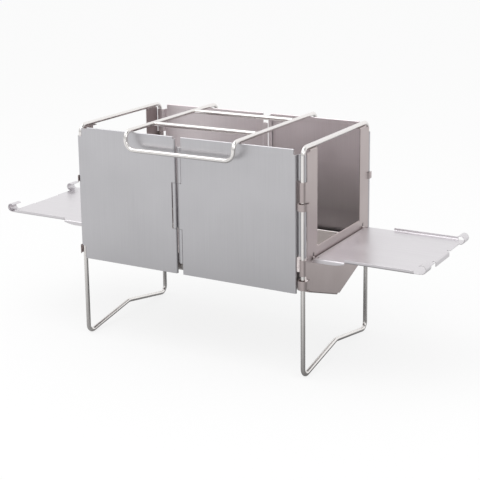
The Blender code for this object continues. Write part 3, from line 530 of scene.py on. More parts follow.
def plate_columns():
    """Columns of an end plate in plan, from the end of the front hooks to the end of the back ones.

    Each is (y, x, normal y, normal x). There are three sets: at heights without a tab, where the plate hooks
    both legs, and where it wraps the front one. The numbers that follow are the first flat column, the last
    one, and where the wrap starts."""
    flat_y = mirrored([
        FLANGE_RELIEF_Y, WINDOW_HALF_WIDTH - SLIT, WINDOW_HALF_WIDTH, LIP_END_Y, FLANGE_END_Y, TAB_START_Y
    ])  # fmt: skip
    moves, length = joggle(FRAME_X + TAB_RADIUS - PLATE_X, *TAB_JOGGLE)
    moves.append(line(FRAME_Y - TAB_START_Y - length))
    full_hook = trace((TAB_START_Y, PLATE_X), 0.0, moves + [bend(TAB_RADIUS, -FULL_HOOK_SWEEP)])[:0:-1]
    half_hook = trace((TAB_START_Y, PLATE_X), 0.0, moves + [bend(TAB_RADIUS, -HALF_HOOK_SWEEP)])[1:]
    moves = [line(PLATE_EDGE_Y - TAB_START_Y), line(FRAME_Y - PLATE_EDGE_Y)]
    leg_wrap = trace((TAB_START_Y, PLATE_X), 0.0, moves + [bend(WRAP_RADIUS, -LEG_WRAP_SWEEP)])[:0:-1]
    first_flat, last_flat = len(full_hook), len(full_hook) + len(flat_y) - 1
    flat = stack(flat_y, np.array([PLATE_X]), np.zeros(1), np.ones(1))
    hooked = np.vstack([full_hook * (-1, 1, -1, 1), flat, half_hook])
    plain = hooked.copy()
    plain[:first_flat] = (-PLATE_EDGE_Y, PLATE_X, 0.0, 1.0)
    plain[last_flat + 1 :] = (PLATE_EDGE_Y, PLATE_X, 0.0, 1.0)
    wrap_start = first_flat - len(leg_wrap)
    wrapped = plain.copy()
    wrapped[wrap_start:first_flat] = leg_wrap * (-1, 1, -1, 1)
    return plain, hooked, wrapped, first_flat, last_flat, wrap_start


def end_plate(name, half_turn):
    """Two strips and a web round a window, hooks round the legs, and a turned-in flange.

    Rows run from the inner edge of the flange up to the lip below the top rail. Rows inside a tab follow the
    hooks in plan, and the others stay flat."""
    plain, hooked, wrapped, first_flat, last_flat, wrap_start = plate_columns()
    flange_moves = [line(PLATE_X - TIGHT_BEND - FLANGE_INNER_X), bend(TIGHT_BEND, 90.0)]
    flange = trace((FLANGE_INNER_X, 0.0), 0.0, flange_moves)
    hem_start = WEB_TOP - HEM_RADIUS - SHEET / 2
    levels = [hem_start, STRIP_CORNER_Z]
    for low, high in TABS + LEG_WRAPS:
        levels += [low - SLIT, low, high, high + SLIT]
    levels = np.sort(levels)
    lip_start = (PLATE_X, TOP_ROD_Z - WRAP_RADIUS - TIGHT_BEND)
    lip = trace(lip_start, 90.0, [bend(TIGHT_BEND, 90.0), line(LIP_LENGTH)])
    hem = trace((PLATE_X, hem_start), 90.0, [bend(HEM_RADIUS, 180.0), line(WEB_HEM_DEPTH)])
    first_level, first_lip = len(flange), len(flange) + len(levels)
    web_row = first_level + int(np.searchsorted(levels, hem_start))
    count = first_lip + len(lip)

    middles = (levels[1:] + levels[:-1]) / 2
    tab_level = in_ranges(levels, [(low - ROUNDING, high + ROUNDING) for low, high in TABS])
    wrap_level = in_ranges(levels, [(low - ROUNDING, high + ROUNDING) for low, high in LEG_WRAPS])
    plan = np.where(tab_level[None, :, None], hooked[:, None], plain[:, None])
    plan = np.where(wrap_level[None, :, None], wrapped[:, None], plan)
    y = plain[:, :1]
    low_y = np.maximum(np.abs(y), FLANGE_RELIEF_Y)
    slope = bed_line_height(low_y, -SHEET - GAP)
    flange_x, rise, flange_nx, flange_nz = flange.T[:, None]
    lip_x, lip_z, lip_nx, lip_nz = lip.T[:, None]
    points = np.hstack([
        stack(flange_x, y, slope + rise),
        stack(plan[..., 1], plan[..., 0], levels[None]),
        stack(lip_x, y, lip_z),
    ])  # fmt: skip
    none = np.zeros_like(y)
    normals = np.hstack([
        stack(flange_nx, none, flange_nz),
        stack(-plan[..., 3], -plan[..., 2], none),
        stack(lip_nx, none, lip_nz),
    ])  # fmt: skip
    # across the window the rows above the web are its hem
    inside = np.flatnonzero(np.abs(plain[:, 0]) < WINDOW_HALF_WIDTH - SLIT / 2)
    hem_rows = hem[np.minimum(np.arange(count - web_row), len(hem) - 1)].T[:, None]
    points[inside, web_row:] = stack(hem_rows[0], y[inside], hem_rows[1])
    normals[inside, web_row:] = stack(hem_rows[2], none[inside], hem_rows[3])

    i, j = np.arange(len(plain) - 1)[:, None], np.arange(count - 1)[None]
    width = np.abs(plain[1:, :1] + plain[:-1, :1]) / 2
    on_hem = (width < WINDOW_HALF_WIDTH - SLIT) & (j - web_row < len(hem) - 1)
    upper = np.where(width < WINDOW_HALF_WIDTH, on_hem, (j < first_lip - 1) | (width < LIP_END_Y))
    on_plate = np.where(j < web_row, True, upper)
    on_plate = np.where(j < first_level - 1, between(FLANGE_RELIEF_Y, width, FLANGE_END_Y), on_plate)
    beside, hook_cell, wrap_cell = np.zeros((3, count - 1), bool)
    beside[first_level : first_lip - 1] = ~tab_level[1:] & ~tab_level[:-1]
    hook_cell[first_level : first_lip - 1] = in_ranges(middles, TABS)
    wrap_cell[first_level : first_lip - 1] = in_ranges(middles, LEG_WRAPS)
    off_plate = hook_cell | (wrap_cell & (wrap_start <= i) & (i < first_flat))
    off_plate = off_plate | (beside & ((i == first_flat - 1) | (i == last_flat)))
    keep = np.where((i < first_flat) | (i >= last_flat), off_plate, on_plate)
    return sheet_piece(name, points, normals, keep, half_turn)


def table_lug(name, side, half_turn):
    """A lug of an end plate: a narrow strip down the plate, joggled out and curled round the table's pin."""
    moves, length = joggle(TABLE_AXIS_X - PIN_WRAP_RADIUS - PLATE_X, *LUG_JOGGLE)
    top = (PLATE_X, TABLE_AXIS_Z + length + LUG_ROOT)
    path = trace(top, -90.0, [line(LUG_ROOT)] + moves + [bend(PIN_WRAP_RADIUS, WRAP_SWEEP)])
    middle = side * (CURL_END_Y + HOOK_OUTER_Y) / 2
    y = np.array([[middle - LUG_WIDTH / 2, middle + LUG_WIDTH / 2]])
    x, z, normal_x, normal_z = path.T[:, :, None]
    keep = np.ones((len(path) - 1, 1), bool)
    return sheet_piece(name, stack(x, y, z), stack(normal_x, 0 * y, normal_z), keep, half_turn)


def table_side(x):
    """Points and normals of a table's back ear and rim, from the flat's edge outwards, at each row's x.

    The ear's depth falls off along a quarter of an ellipse towards the rim."""
    start = (TABLE_FLAT_Y, TABLE_MIDDLE_Z)
    rim = trace(start, 0.0, [bend(TIGHT_BEND, 90.0), line(TABLE_RIM_HEIGHT + SHEET / 2 - TIGHT_BEND)])[1:]
    ear = trace(start, 0.0, [bend(TIGHT_BEND, -90.0), line(0.0)])[1:]
    along = np.clip((x - EAR_ROUND_X) / (RIM_START_X - EAR_ROUND_X), 0.0, 1.0)
    depth = np.maximum(TIGHT_BEND + SHEET, EAR_DEPTH * np.sqrt(1.0 - along**2))
    is_ear = x < RIM_START_X
    bent = np.where(is_ear[None, :, None], ear[:, None], rim[:, None])
    bent[-1, is_ear, 1] = (TABLE_MIDDLE_Z - SHEET / 2 - depth)[is_ear]
    x = np.repeat(x[None], len(rim), axis=0)
    x[-1, x[0] < TABLE_AXIS_X] = EAR_FOOT_X
    return stack(x, bent[..., 0], bent[..., 1]), stack(0 * x, bent[..., 2], bent[..., 3])


def side_table(name, half_turn):
    """A side table: a curl round its pin, ears and rims along the sides, and a flap between two hooks.

    Columns run from the front side to the back one, and rows from the end of the curl outwards. The ends of
    the rows are bent into the curl, the hooks or the flap, whichever their column has."""
    start = on_circle((TABLE_AXIS_X, TABLE_AXIS_Z), PIN_WRAP_RADIUS, 90.0 + WRAP_SWEEP)
    curl = trace(start, WRAP_SWEEP, [bend(PIN_WRAP_RADIUS, -WRAP_SWEEP)])
    ear_x = EAR_ROUND_X + np.sin(EAR_STATIONS) * (RIM_START_X - SLIT - EAR_ROUND_X)
    flat = np.concatenate([
        [TABLE_CUT_X, TABLE_NECK_X], ear_x, [RIM_START_X - SLIT, RIM_START_X, RIM_END_X],
        [TABLE_EDGE_X - FLAP_NOTCH, TABLE_EDGE_X],
    ])  # fmt: skip
    hook = trace((HOOK_X, TABLE_MIDDLE_Z), 0.0, [bend(HOOK_RADIUS, HOOK_SWEEP)])
    flap_moves = [bend(TIGHT_BEND, -90.0), line(FLAP_DROP - TIGHT_BEND - SHEET / 2)]
    flap = trace((TABLE_EDGE_X - TIGHT_BEND - SHEET / 2, TABLE_MIDDLE_Z), 0.0, flap_moves)
    first_flat, ear_row = len(curl), len(curl) - 2
    edge_row = first_flat + len(flat) - 1
    count = edge_row + 1 + len(hook)
    inner = mirrored(
        [FLAP_HALF_WIDTH, FLAP_HALF_WIDTH + FLAP_NOTCH, HOOK_INNER_Y, CURL_END_Y, HOOK_OUTER_Y, TABLE_FLAT_Y]
    )

    j = np.arange(count)
    row_x = np.where(j < first_flat, TABLE_AXIS_X, flat[np.clip(j - first_flat, 0, len(flat) - 1)])
    side_x = np.where(j == ear_row, EAR_FOOT_X + EAR_RELIEF, row_x)

    # the flat, with the curl, the hooks and the flap in place of its ends
    y, width = inner[:, None], np.abs(inner)[:, None]
    points = stack(np.where(width > HOOK_OUTER_Y, side_x, row_x), y, TABLE_MIDDLE_Z)
    normals = stack(0 * y, 0 * y, np.ones((1, count)))
    on_curl = np.flatnonzero(width[:, 0] <= CURL_END_Y + GAP)
    points[on_curl, :first_flat] = stack(curl[None, :, 0], y[on_curl], curl[None, :, 1])
    normals[on_curl, :first_flat] = stack(curl[None, :, 2], 0 * y[on_curl], curl[None, :, 3])
    points[:, edge_row + 1 :] = stack(hook[None, :, 0], y, hook[None, :, 1])
    normals[:, edge_row + 1 :] = stack(hook[None, :, 2], 0 * y, hook[None, :, 3])
    on_flap = np.flatnonzero(width[:, 0] <= FLAP_HALF_WIDTH + GAP)
    drop = flap[np.minimum(np.arange(count - edge_row), len(flap) - 1)][None]
    points[on_flap, edge_row:] = stack(drop[..., 0], y[on_flap], drop[..., 1])
    normals[on_flap, edge_row:] = stack(drop[..., 2], 0 * y[on_flap], drop[..., 3])

    side_points, side_normals = table_side(side_x)
    points = np.concatenate([side_points[::-1] * (1, -1, 1), points, side_points])
    normals = np.concatenate([side_normals[::-1] * (1, -1, 1), normals, side_normals])

    sides = len(side_points)
    i, j = np.arange(len(points) - 1)[:, None], np.arange(count - 1)[None]
    cell_x = (side_x[1:] + side_x[:-1])[None] / 2
    on_side = (j >= ear_row) & (j < edge_row)
    on_side = on_side & ((cell_x < RIM_START_X - SLIT) | between(RIM_START_X, cell_x, RIM_END_X))
    stations = np.concatenate([np.zeros(sides), inner, np.zeros(sides)])
    width = np.abs(stations[1:] + stations[:-1])[:, None] / 2
    on_hook = between(HOOK_INNER_Y, width, HOOK_OUTER_Y)
    on_end = np.where(width < FLAP_HALF_WIDTH, j - edge_row < len(flap) - 1, on_hook)
    notch = between(FLAP_HALF_WIDTH, width, FLAP_HALF_WIDTH + FLAP_NOTCH)
    on_flat = np.where(j == edge_row - 1, ~notch, on_end | (j < edge_row - 1))
    on_flat = np.where(j == first_flat - 1, ~between(CURL_END_Y, width, HOOK_OUTER_Y), on_flat)
    on_flat = np.where(j < first_flat - 1, width < CURL_END_Y, on_flat)
    keep = np.where((i < sides) | (i >= len(points) - sides - 1), on_side, on_flat)
    return sheet_piece(name, points, normals, keep, half_turn)


def bed_plate(name, half_turn):
    """A fire bed plate: knuckles on the pin, a slope, and an upstand with a hem turned inwards.

    One path square to the pin is carried along it. Every second knuckle is cut away, and there the plate
    stops short of the pin."""
    slope = math.radians(BED_SLOPE)
    down, joggle_length = joggle(-PIN_WRAP_RADIUS, *BED_JOGGLE)
    start = on_circle((0.0, BED_AXIS_Z), PIN_WRAP_RADIUS, 90.0 + BED_SLOPE + WRAP_SWEEP)
    slope_run = BED_HALF_WIDTH - SHEET / 2 - BEND * (1 - math.sin(slope))
    upstand_start = BED_AXIS_Z + slope_run * math.tan(slope) + BEND * math.cos(slope)
    moves = [bend(PIN_WRAP_RADIUS, -WRAP_SWEEP)] + down
    knuckle_end = len(trace((0.0, 0.0), 0.0, moves)) - 1
    moves += [line(slope_run / math.cos(slope) - joggle_length), bend(BEND, 90.0 - BED_SLOPE)]
    moves += [line(BED_TOP - SHEET / 2 - HEM_RADIUS - upstand_start)]
    moves += [bend(HEM_RADIUS, 180.0), line(BED_HEM_DEPTH)]
    path = trace(start, BED_SLOPE + WRAP_SWEEP, moves)
    edge_y, edge_rise = BED_EDGE_SETBACK * math.cos(slope), BED_EDGE_SETBACK * math.sin(slope)
    path[knuckle_end] = (edge_y, BED_AXIS_Z + edge_rise, -math.sin(slope), math.cos(slope))
    joints = np.linspace(-BED_PIN_HALF_LENGTH, BED_PIN_HALF_LENGTH, BED_KNUCKLES + 1)
    cuts = (joints[1:-1, None] + [-GAP / 2, GAP / 2]).ravel()
    x = np.concatenate([[-BED_HALF_LENGTH, joints[0]], cuts, [joints[-1], BED_HALF_LENGTH]])
    y, z, normal_y, normal_z = path.T[:, None]
    middle, width = (x[1:] + x[:-1]) / 2, np.diff(x)
    knuckle = ((middle + BED_PIN_HALF_LENGTH) / (joints[1] - joints[0])).astype(int)
    on_knuckle = (np.abs(middle) < BED_PIN_HALF_LENGTH) & (width > 2 * GAP) & (knuckle % 2 == 0)
    keep = on_knuckle[:, None] | (np.arange(len(path) - 1)[None] >= knuckle_end)
    x = x[:, None]
    return sheet_piece(name, stack(x, y, z), stack(0 * x, normal_y, normal_z), keep, half_turn)


def frame_path():
    """Closed middle line of a rod loop: top rail, two legs, and a foot bar that rises to its middle.

    The bend beside each leg touches the ground, and the bar rises from there in a straight line."""
    slope = math.radians(FOOT_ANGLE)
    bend_y, bend_z = FRAME_Y - ROD_BEND, ROD_RADIUS + ROD_BEND
    crest_z = bend_z - ROD_BEND / math.cos(slope) + bend_y * math.tan(slope)
    corner_z = crest_z - FRAME_Y * math.tan(slope)
    corners = [
        (FRAME_X, -FRAME_Y, TOP_ROD_Z), (FRAME_X, -FRAME_Y, corner_z), (FRAME_X, 0.0, crest_z),
        (FRAME_X, FRAME_Y, corner_z), (FRAME_X, FRAME_Y, TOP_ROD_Z),
    ]  # fmt: skip
    return rounded(corners, [ROD_BEND, ROD_BEND, FOOT_CREST_BEND, ROD_BEND, ROD_BEND], closed=True)


def trivet_path():
    """Middle line of the trivet's long rod: back end, rail, handle, rail, back end."""
    x, y, rail_z = TRIVET_RAIL_X, TRIVET_HALF_DEPTH, TRIVET_RAIL_Z
    corners = [
        (-x, y, TRIVET_BACK_END_Z), (-x, y, rail_z), (-x, -y, rail_z), (-x, -y, HANDLE_Z),
        (x, -y, HANDLE_Z), (x, -y, rail_z), (x, y, rail_z), (x, y, TRIVET_BACK_END_Z),
    ]  # fmt: skip
    drop, grip = TRIVET_DROP_BEND, HANDLE_BEND
    return rounded(corners, [0.0, drop, drop, grip, grip, drop, drop, 0.0])


# Finishes

BRUSHING = 0.4  # anisotropy of brushed sheet
BELT = (0.9, 120.0, 0.2)  # a streak's width and length in millimetres, and its relief
STREAK_TONE = 0.03  # how far a streak's brightness is from the sheet's
STREAK_DEPTH = 0.00004
PATCH_MM = 62.5
PATCH_ROUGHNESS = (-0.04, 0.05)
INNER_ROUGHNESS = 0.08  # how much rougher the inner side is
SKIN_SCALE = 220.0  # patches of a rod's skin are about 4.5 mm across
SKIN_RELIEF = 0.03
SKIN_DEPTH = 0.0001
SKIN_ROUGHNESS = (-0.03, 0.05)
STREAK_NOISE = {"From Min": 0.3, "From Max": 0.7}  # the part of a noise's range that streaks use
PATCH_NOISE = {"From Min": 0.35, "From Max": 0.65}  # the part that patches use
PAINTED_SHADE_RISE = 0.07  # painted shade: the walls' inner side darkens over this height above the window's sill
PAINTED_SHADE_LEVEL = 0.42  # how bright the painted shade leaves it at the sill, against full


def add(tree, kind, settings=(), links=()):
    """Adds one node, with its settings and socket values by name or number, and its links from outputs."""
    node = tree.nodes.new(kind)
    for key, value in dict(settings).items():
        if isinstance(key, int) or key in node.inputs:
            node.inputs[key].default_value = value
        else:
            setattr(node, key, value)
    for key, source in dict(links).items():
        tree.links.new(source, node.inputs[key])
    return node


def steel(name, colour, roughness, anisotropy=0.0):
    """Makes a bare stainless steel material, and returns its tree and shader."""
    material = bpy.data.materials.new(name)
    material.use_nodes = True
    shader = material.node_tree.nodes["Principled BSDF"]
    shader.inputs["Base Color"].default_value = (*colour, 1.0)
    shader.inputs["Metallic"].default_value = 1.0
    shader.inputs["Roughness"].default_value = roughness
    shader.inputs["Anisotropic"].default_value = anisotropy
    return material.node_tree, shader


def brushed_sheet(name, colours, roughness, across_mm, along_mm, relief, painted_shade_level=1.0):
    """Stainless sheet brushed by an abrasive belt: long fine lines that run up the blank.

    The lines scatter light sideways, so a reflection spreads across them and stays sharp along them. The
    real lines are about 0.1 mm apart: they are drawn as coarse as the render can show. The inner side has a
    colour of its own, on the walls a paler one that is partly their finish as rolled and partly painted
    light, and is a little rougher. With a painted shade level under 1 it also darkens towards the fire bed:
    painted shade, where the real one mirrors its own unlit depth."""
    outer_colour, inner_colour = colours
    tree, shader = steel(name, outer_colour, roughness, BRUSHING)
    inner = add(tree, "ShaderNodeAttribute", {"attribute_name": "inner_side"}).outputs["Fac"]
    blank = add(tree, "ShaderNodeUVMap", {"uv_map": "blank"}).outputs["UV"]
    place = add(tree, "ShaderNodeTexCoord").outputs["Object"]
    tangent = add(tree, "ShaderNodeTangent", {"direction_type": "UV_MAP", "uv_map": "blank"})
    tree.links.new(tangent.outputs["Tangent"], shader.inputs["Tangent"])
    scale = (1000.0 / across_mm, 1000.0 / along_mm, 1.0)
    lines = add(tree, "ShaderNodeMapping", {"Scale": scale}, {"Vector": blank}).outputs["Vector"]
    fine = {"Scale": 1.0, "Detail": 4.0, "Roughness": 0.65}
    grain = add(tree, "ShaderNodeTexNoise", fine, {"Vector": lines}).outputs["Fac"]
    broad = {"Scale": 1000.0 / PATCH_MM, "Detail": 2.0}
    cloud = add(tree, "ShaderNodeTexNoise", broad, {"Vector": place}).outputs["Fac"]

    # a Mix node's colours are its sockets 6 and 7, and its numbers the sockets 2 and 3
    # on the walls the inner colour is paler partly as rolled metal and partly as painted light standing in
    # for the light their inside catches
    sides = {"data_type": "RGBA", 6: (*outer_colour, 1.0), 7: (*inner_colour, 1.0)}
    metal = add(tree, "ShaderNodeMix", sides, {0: inner})
    ramp = {**STREAK_NOISE, "To Min": 1.0 - STREAK_TONE, "To Max": 1.0 + STREAK_TONE}
    streak = add(tree, "ShaderNodeMapRange", ramp, {"Value": grain}).outputs["Result"]
    height = add(tree, "ShaderNodeSeparateXYZ", {}, {"Vector": place}).outputs["Z"]
    # painted shade: the inner side darkens towards the window's sill, where the real wall mirrors its unlit
    # depth
    ramp = {"From Min": WEB_TOP, "From Max": WEB_TOP + PAINTED_SHADE_RISE, "To Min": painted_shade_level, "To Max": 1.0}
    depth = add(tree, "ShaderNodeMapRange", ramp, {"Value": height}).outputs["Result"]
    painted_shade = add(tree, "ShaderNodeMix", {"data_type": "FLOAT", 2: 1.0}, {0: inner, 3: depth}).outputs[0]
    tone = add(tree, "ShaderNodeMath", {"operation": "MULTIPLY"}, {0: streak, 1: painted_shade}).outputs["Value"]
    tint = add(tree, "ShaderNodeVectorMath", {"operation": "SCALE"}, {0: metal.outputs[2], "Scale": tone})
    tree.links.new(tint.outputs["Vector"], shader.inputs["Base Color"])

    low, high = PATCH_ROUGHNESS
    ramp = {**PATCH_NOISE, "To Min": roughness + low, "To Max": roughness + high}
    patch = add(tree, "ShaderNodeMapRange", ramp, {"Value": cloud}).outputs["Result"]
    blurred = {"operation": "MULTIPLY_ADD", 1: INNER_ROUGHNESS}
    rough = add(tree, "ShaderNodeMath", blurred, {0: inner, 2: patch})
    tree.links.new(rough.outputs["Value"], shader.inputs["Roughness"])
    bump = add(tree, "ShaderNodeBump", {"Strength": relief, "Distance": STREAK_DEPTH}, {"Height": grain})
    tree.links.new(bump.outputs["Normal"], shader.inputs["Normal"])


def polished_rod(name, colour, roughness):
    """Stainless rod, drawn and then polished: a bright skin with faint uneven patches from the bending."""
    tree, shader = steel(name, colour, roughness)
    place = add(tree, "ShaderNodeTexCoord").outputs["Object"]
    patches = {"Scale": SKIN_SCALE, "Detail": 3.0}
    skin = add(tree, "ShaderNodeTexNoise", patches, {"Vector": place}).outputs["Fac"]
    low, high = SKIN_ROUGHNESS
    ramp = {**PATCH_NOISE, "To Min": roughness + low, "To Max": roughness + high}
    rough = add(tree, "ShaderNodeMapRange", ramp, {"Value": skin})
    tree.links.new(rough.outputs["Result"], shader.inputs["Roughness"])
    bump = add(tree, "ShaderNodeBump", {"Strength": SKIN_RELIEF, "Distance": SKIN_DEPTH}, {"Height": skin})
    tree.links.new(bump.outputs["Normal"], shader.inputs["Normal"])


def brushed_stainless_sheet(name, looks):
    """Walls: cool grey with fine upright streaks; the inner side paler, partly the metal as it was rolled and
    partly painted light, and darkened low down by painted shade.
    """
    colours = (looks.wall_colour, looks.inner_colour)
    brushed_sheet(name, colours, looks.wall_roughness, *BELT, PAINTED_SHADE_LEVEL)


def brushed_stainless_end(name, looks):
    """End plates: brushed as the walls are, from sheet that looks a little warmer, alike on both sides."""
    colours = (looks.end_colour, looks.end_colour)
    brushed_sheet(name, colours, looks.wall_roughness, *BELT)


def satin_stainless_sheet(name, looks):
    """Side tables: rubbed down to an even satin, pale and soft, with streaks that have no relief."""
    colours = (looks.table_colour, looks.table_colour)
    brushed_sheet(name, colours, looks.table_roughness, across_mm=2.0, along_mm=300.0, relief=0.0)


def brushed_stainless_bed(name, looks):
    """Fire bed: brushed in shorter lines, pale and clean as before its first fire."""
    colours = (looks.bed_colour, looks.bed_colour)
    brushed_sheet(name, colours, looks.bed_roughness, across_mm=0.9, along_mm=90.0, relief=0.2)


def polished_stainless_rod(name, looks):
    """Frames and trivet: bright rod with sharp highlights along it."""
    polished_rod(name, looks.rod_colour, looks.rod_roughness)


def drawn_stainless_pin(name, looks):
    """Hinge pins: wire as drawn, greyer and less glossy than the rod."""
    polished_rod(name, looks.pin_colour, looks.pin_roughness)


def finish(make):
    """The material that one of these functions makes, made once and named as the function is."""
    name = make.__name__
    if name not in bpy.data.materials:
        make(name, bpy.context.scene.stand_finishes)
    return bpy.data.materials[name]


def settle(item, make, body, slot, *nodes):
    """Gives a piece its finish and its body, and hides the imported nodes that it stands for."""
    item.data.materials.append(finish(make))
    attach(item, body)
    if nodes:
        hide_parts(*nodes)
    return item


# Stage

WHITE = (1.0, 1.0, 1.0, 1.0)
FLOOR_COLOUR = (0.8, 0.8, 0.8, 1.0)
FLOOR_REACH = 6.0
FLOOR_WHITE = 0.8  # share of plain white in what is seen of the floor, while the rest keeps the shadow
SHADE_REACH = 0.37  # how far from the middle the floor's reflection is half as bright as far away
FRONT_LEVEL = 0.55  # how bright reflections see the studio low down in front, against full
DARK_SIDE = (0.99, -0.14, 0.0)  # the direction in plan where they see it darkest
DARK_START = 0.75  # cosine of the angle from there at which it starts to darken
DARK_LEVEL = 0.2  # how bright it is there, against full
ABOVE = {"From Min": 0.0, "From Max": 0.55}  # from this upward part of a direction to that, it brightens
BEHIND = {"From Min": -0.2, "From Max": 0.5}  # and from this backward part to that
SOFTBOXES = (  # name, place, width and watts
    ("overhead_softbox", (-0.5, -0.6, 1.6), 1.4, 10.0),
    ("right_softbox", (1.6, -0.6, 0.9), 1.0, 5.0),
)
SOFTBOX_AIM = (0.0, 0.0, 0.15)
PICTURE = 480  # pixels across the photograph, and up it
FOCAL_LENGTH = 1157.45  # in pixels
PICTURE_SHIFT = -90.0  # in pixels
SENSOR_MM = 36.0
CAMERA_PLACE = (0.8012, -1.3593, 0.6080)
CAMERA_TURN = (29.729, 12.196, -0.707)  # degrees to the left, down, and rolled, from looking along +Y
VIEW_END = 50.0


def shaded_side(tree, direction):
    """How bright reflections see the studio in a direction: full, but darker towards the dark side."""
    plan = add(tree, "ShaderNodeVectorMath", {"operation": "MULTIPLY", 1: (1.0, 1.0, 0.0)}, {0: direction})
    unit = add(tree, "ShaderNodeVectorMath", {"operation": "NORMALIZE"}, {0: plan.outputs["Vector"]})
    toward = {"operation": "DOT_PRODUCT", 1: DARK_SIDE}
    cosine = add(tree, "ShaderNodeVectorMath", toward, {0: unit.outputs["Vector"]}).outputs["Value"]
    ramp = {"From Min": DARK_START, "From Max": 1.0, "To Min": 1.0, "To Max": DARK_LEVEL}
    return add(tree, "ShaderNodeMapRange", ramp, {"Value": cosine}).outputs["Result"]


def studio_floor():
    """A floor that looks white and keeps the stand's shadow.

    Reflections see it darker under the stand and on the dark side: at a distance r from the middle it is as
    bright as the square of r over the sum of the squares of r and of the shade's reach."""
    material = bpy.data.materials.new("pale_studio_floor")
    material.use_nodes = True
    tree = material.node_tree
    tree.nodes.clear()
    rays = add(tree, "ShaderNodeLightPath").outputs
    place = add(tree, "ShaderNodeTexCoord").outputs["Object"]
    twice = {0: place, 1: place}
    square = add(tree, "ShaderNodeVectorMath", {"operation": "DOT_PRODUCT"}, twice).outputs["Value"]
    total = add(tree, "ShaderNodeMath", {"operation": "ADD", 1: SHADE_REACH**2}, {0: square}).outputs["Value"]
    clear = add(tree, "ShaderNodeMath", {"operation": "DIVIDE"}, {0: square, 1: total}).outputs["Value"]
    lit = {0: clear, 1: shaded_side(tree, place)}
    reflected = add(tree, "ShaderNodeMath", {"operation": "MULTIPLY"}, lit).outputs["Value"]
    either = {0: rays["Is Camera Ray"], 1: reflected}
    glow = add(tree, "ShaderNodeMath", {"operation": "MAXIMUM"}, either).outputs["Value"]
    either = {0: rays["Is Camera Ray"], 1: rays["Is Glossy Ray"]}
    seen = add(tree, "ShaderNodeMath", {"operation": "MAXIMUM"}, either).outputs["Value"]
    share = add(tree, "ShaderNodeMath", {"operation": "MULTIPLY", 1: FLOOR_WHITE}, {0: seen}).outputs["Value"]
    matte = add(tree, "ShaderNodeBsdfDiffuse", {"Color": FLOOR_COLOUR}).outputs["BSDF"]
    white = add(tree, "ShaderNodeEmission", {}, {"Strength": glow}).outputs["Emission"]
    mix = add(tree, "ShaderNodeMixShader", {}, {"Fac": share, 1: matte, 2: white})
    add(tree, "ShaderNodeOutputMaterial", {}, {"Surface": mix.outputs["Shader"]})
    corners = [(x * FLOOR_REACH, y * FLOOR_REACH, 0) for x, y in ((-1, -1), (1, -1), (1, 1), (-1, 1))]
    mesh = bpy.data.meshes.new("floor")
    mesh.from_pydata(corners, [], [(0, 1, 2, 3)])
    mesh.materials.append(material)
    floor = bpy.data.objects.new("floor", mesh)
    bpy.context.scene.collection.objects.link(floor)
    floor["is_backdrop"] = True


def studio_world():
    """Plain white light on the stand, in which reflections see darker places low in front and on one side."""
    world = bpy.data.worlds.new("studio")
    world.use_nodes = True
    bpy.context.scene.world = world
    tree = world.node_tree
    tree.nodes.clear()
    outward = add(tree, "ShaderNodeTexCoord").outputs["Generated"]
    axes = add(tree, "ShaderNodeSeparateXYZ", {}, {"Vector": outward}).outputs
    ramp = {**ABOVE, "To Min": FRONT_LEVEL, "To Max": 1.0}
    above = add(tree, "ShaderNodeMapRange", ramp, {"Value": axes["Z"]}).outputs["Result"]
    ramp = {**BEHIND, "To Min": FRONT_LEVEL, "To Max": 1.0}
    behind = add(tree, "ShaderNodeMapRange", ramp, {"Value": axes["Y"]}).outputs["Result"]
    bright = add(tree, "ShaderNodeMath", {"operation": "MAXIMUM"}, {0: above, 1: behind}).outputs["Value"]
    lit = {0: bright, 1: shaded_side(tree, outward)}
    level = add(tree, "ShaderNodeMath", {"operation": "MULTIPLY"}, lit).outputs["Value"]
    glossy = add(tree, "ShaderNodeLightPath").outputs["Is Glossy Ray"]
    plain = add(tree, "ShaderNodeBackground", {"Color": WHITE, "Strength": 1.0}).outputs["Background"]
    studio = add(tree, "ShaderNodeBackground", {"Color": WHITE}, {"Strength": level}).outputs["Background"]
    mix = add(tree, "ShaderNodeMixShader", {}, {"Fac": glossy, 1: plain, 2: studio})
    add(tree, "ShaderNodeOutputWorld", {}, {"Surface": mix.outputs["Shader"]})


def softboxes():
    """Two square lamps with soft edges, aimed at the stand."""
    for name, place, width, watts in SOFTBOXES:
        light = bpy.data.lights.new(name, "AREA")
        light.shape = "SQUARE"
        light.size = width
        light.energy = watts
        lamp = bpy.data.objects.new(name, light)
        aim = Vector(SOFTBOX_AIM) - Vector(place)
        lamp.matrix_world = Matrix.Translation(place) @ aim.to_track_quat("-Z", "Y").to_matrix().to_4x4()
        bpy.context.scene.collection.objects.link(lamp)


def photo_camera():
    """The photograph's camera. Its right and up directions are the level one and the one square to it, turned
    by the roll."""
    camera = bpy.data.cameras.new("photo_view")
    camera.sensor_width = SENSOR_MM
    camera.lens = SENSOR_MM * FOCAL_LENGTH / PICTURE
    camera.shift_y = PICTURE_SHIFT / PICTURE
    camera.clip_end = VIEW_END
    yaw, pitch, roll = (math.radians(angle) for angle in CAMERA_TURN)
    ahead = Vector((-math.sin(yaw) * math.cos(pitch), math.cos(yaw) * math.cos(pitch), -math.sin(pitch)))
    level = Vector((math.cos(yaw), math.sin(yaw), 0.0))
    upright = level.cross(ahead)
    right = level * math.cos(roll) + upright * math.sin(roll)
    up = upright * math.cos(roll) - level * math.sin(roll)
    view = bpy.data.objects.new("photo_view", camera)
    turn = Matrix((right, up, -ahead)).transposed().to_4x4()
    view.matrix_world = Matrix.Translation(CAMERA_PLACE) @ turn
    bpy.context.scene.collection.objects.link(view)
    bpy.context.scene.camera = view


# Sizes and colours


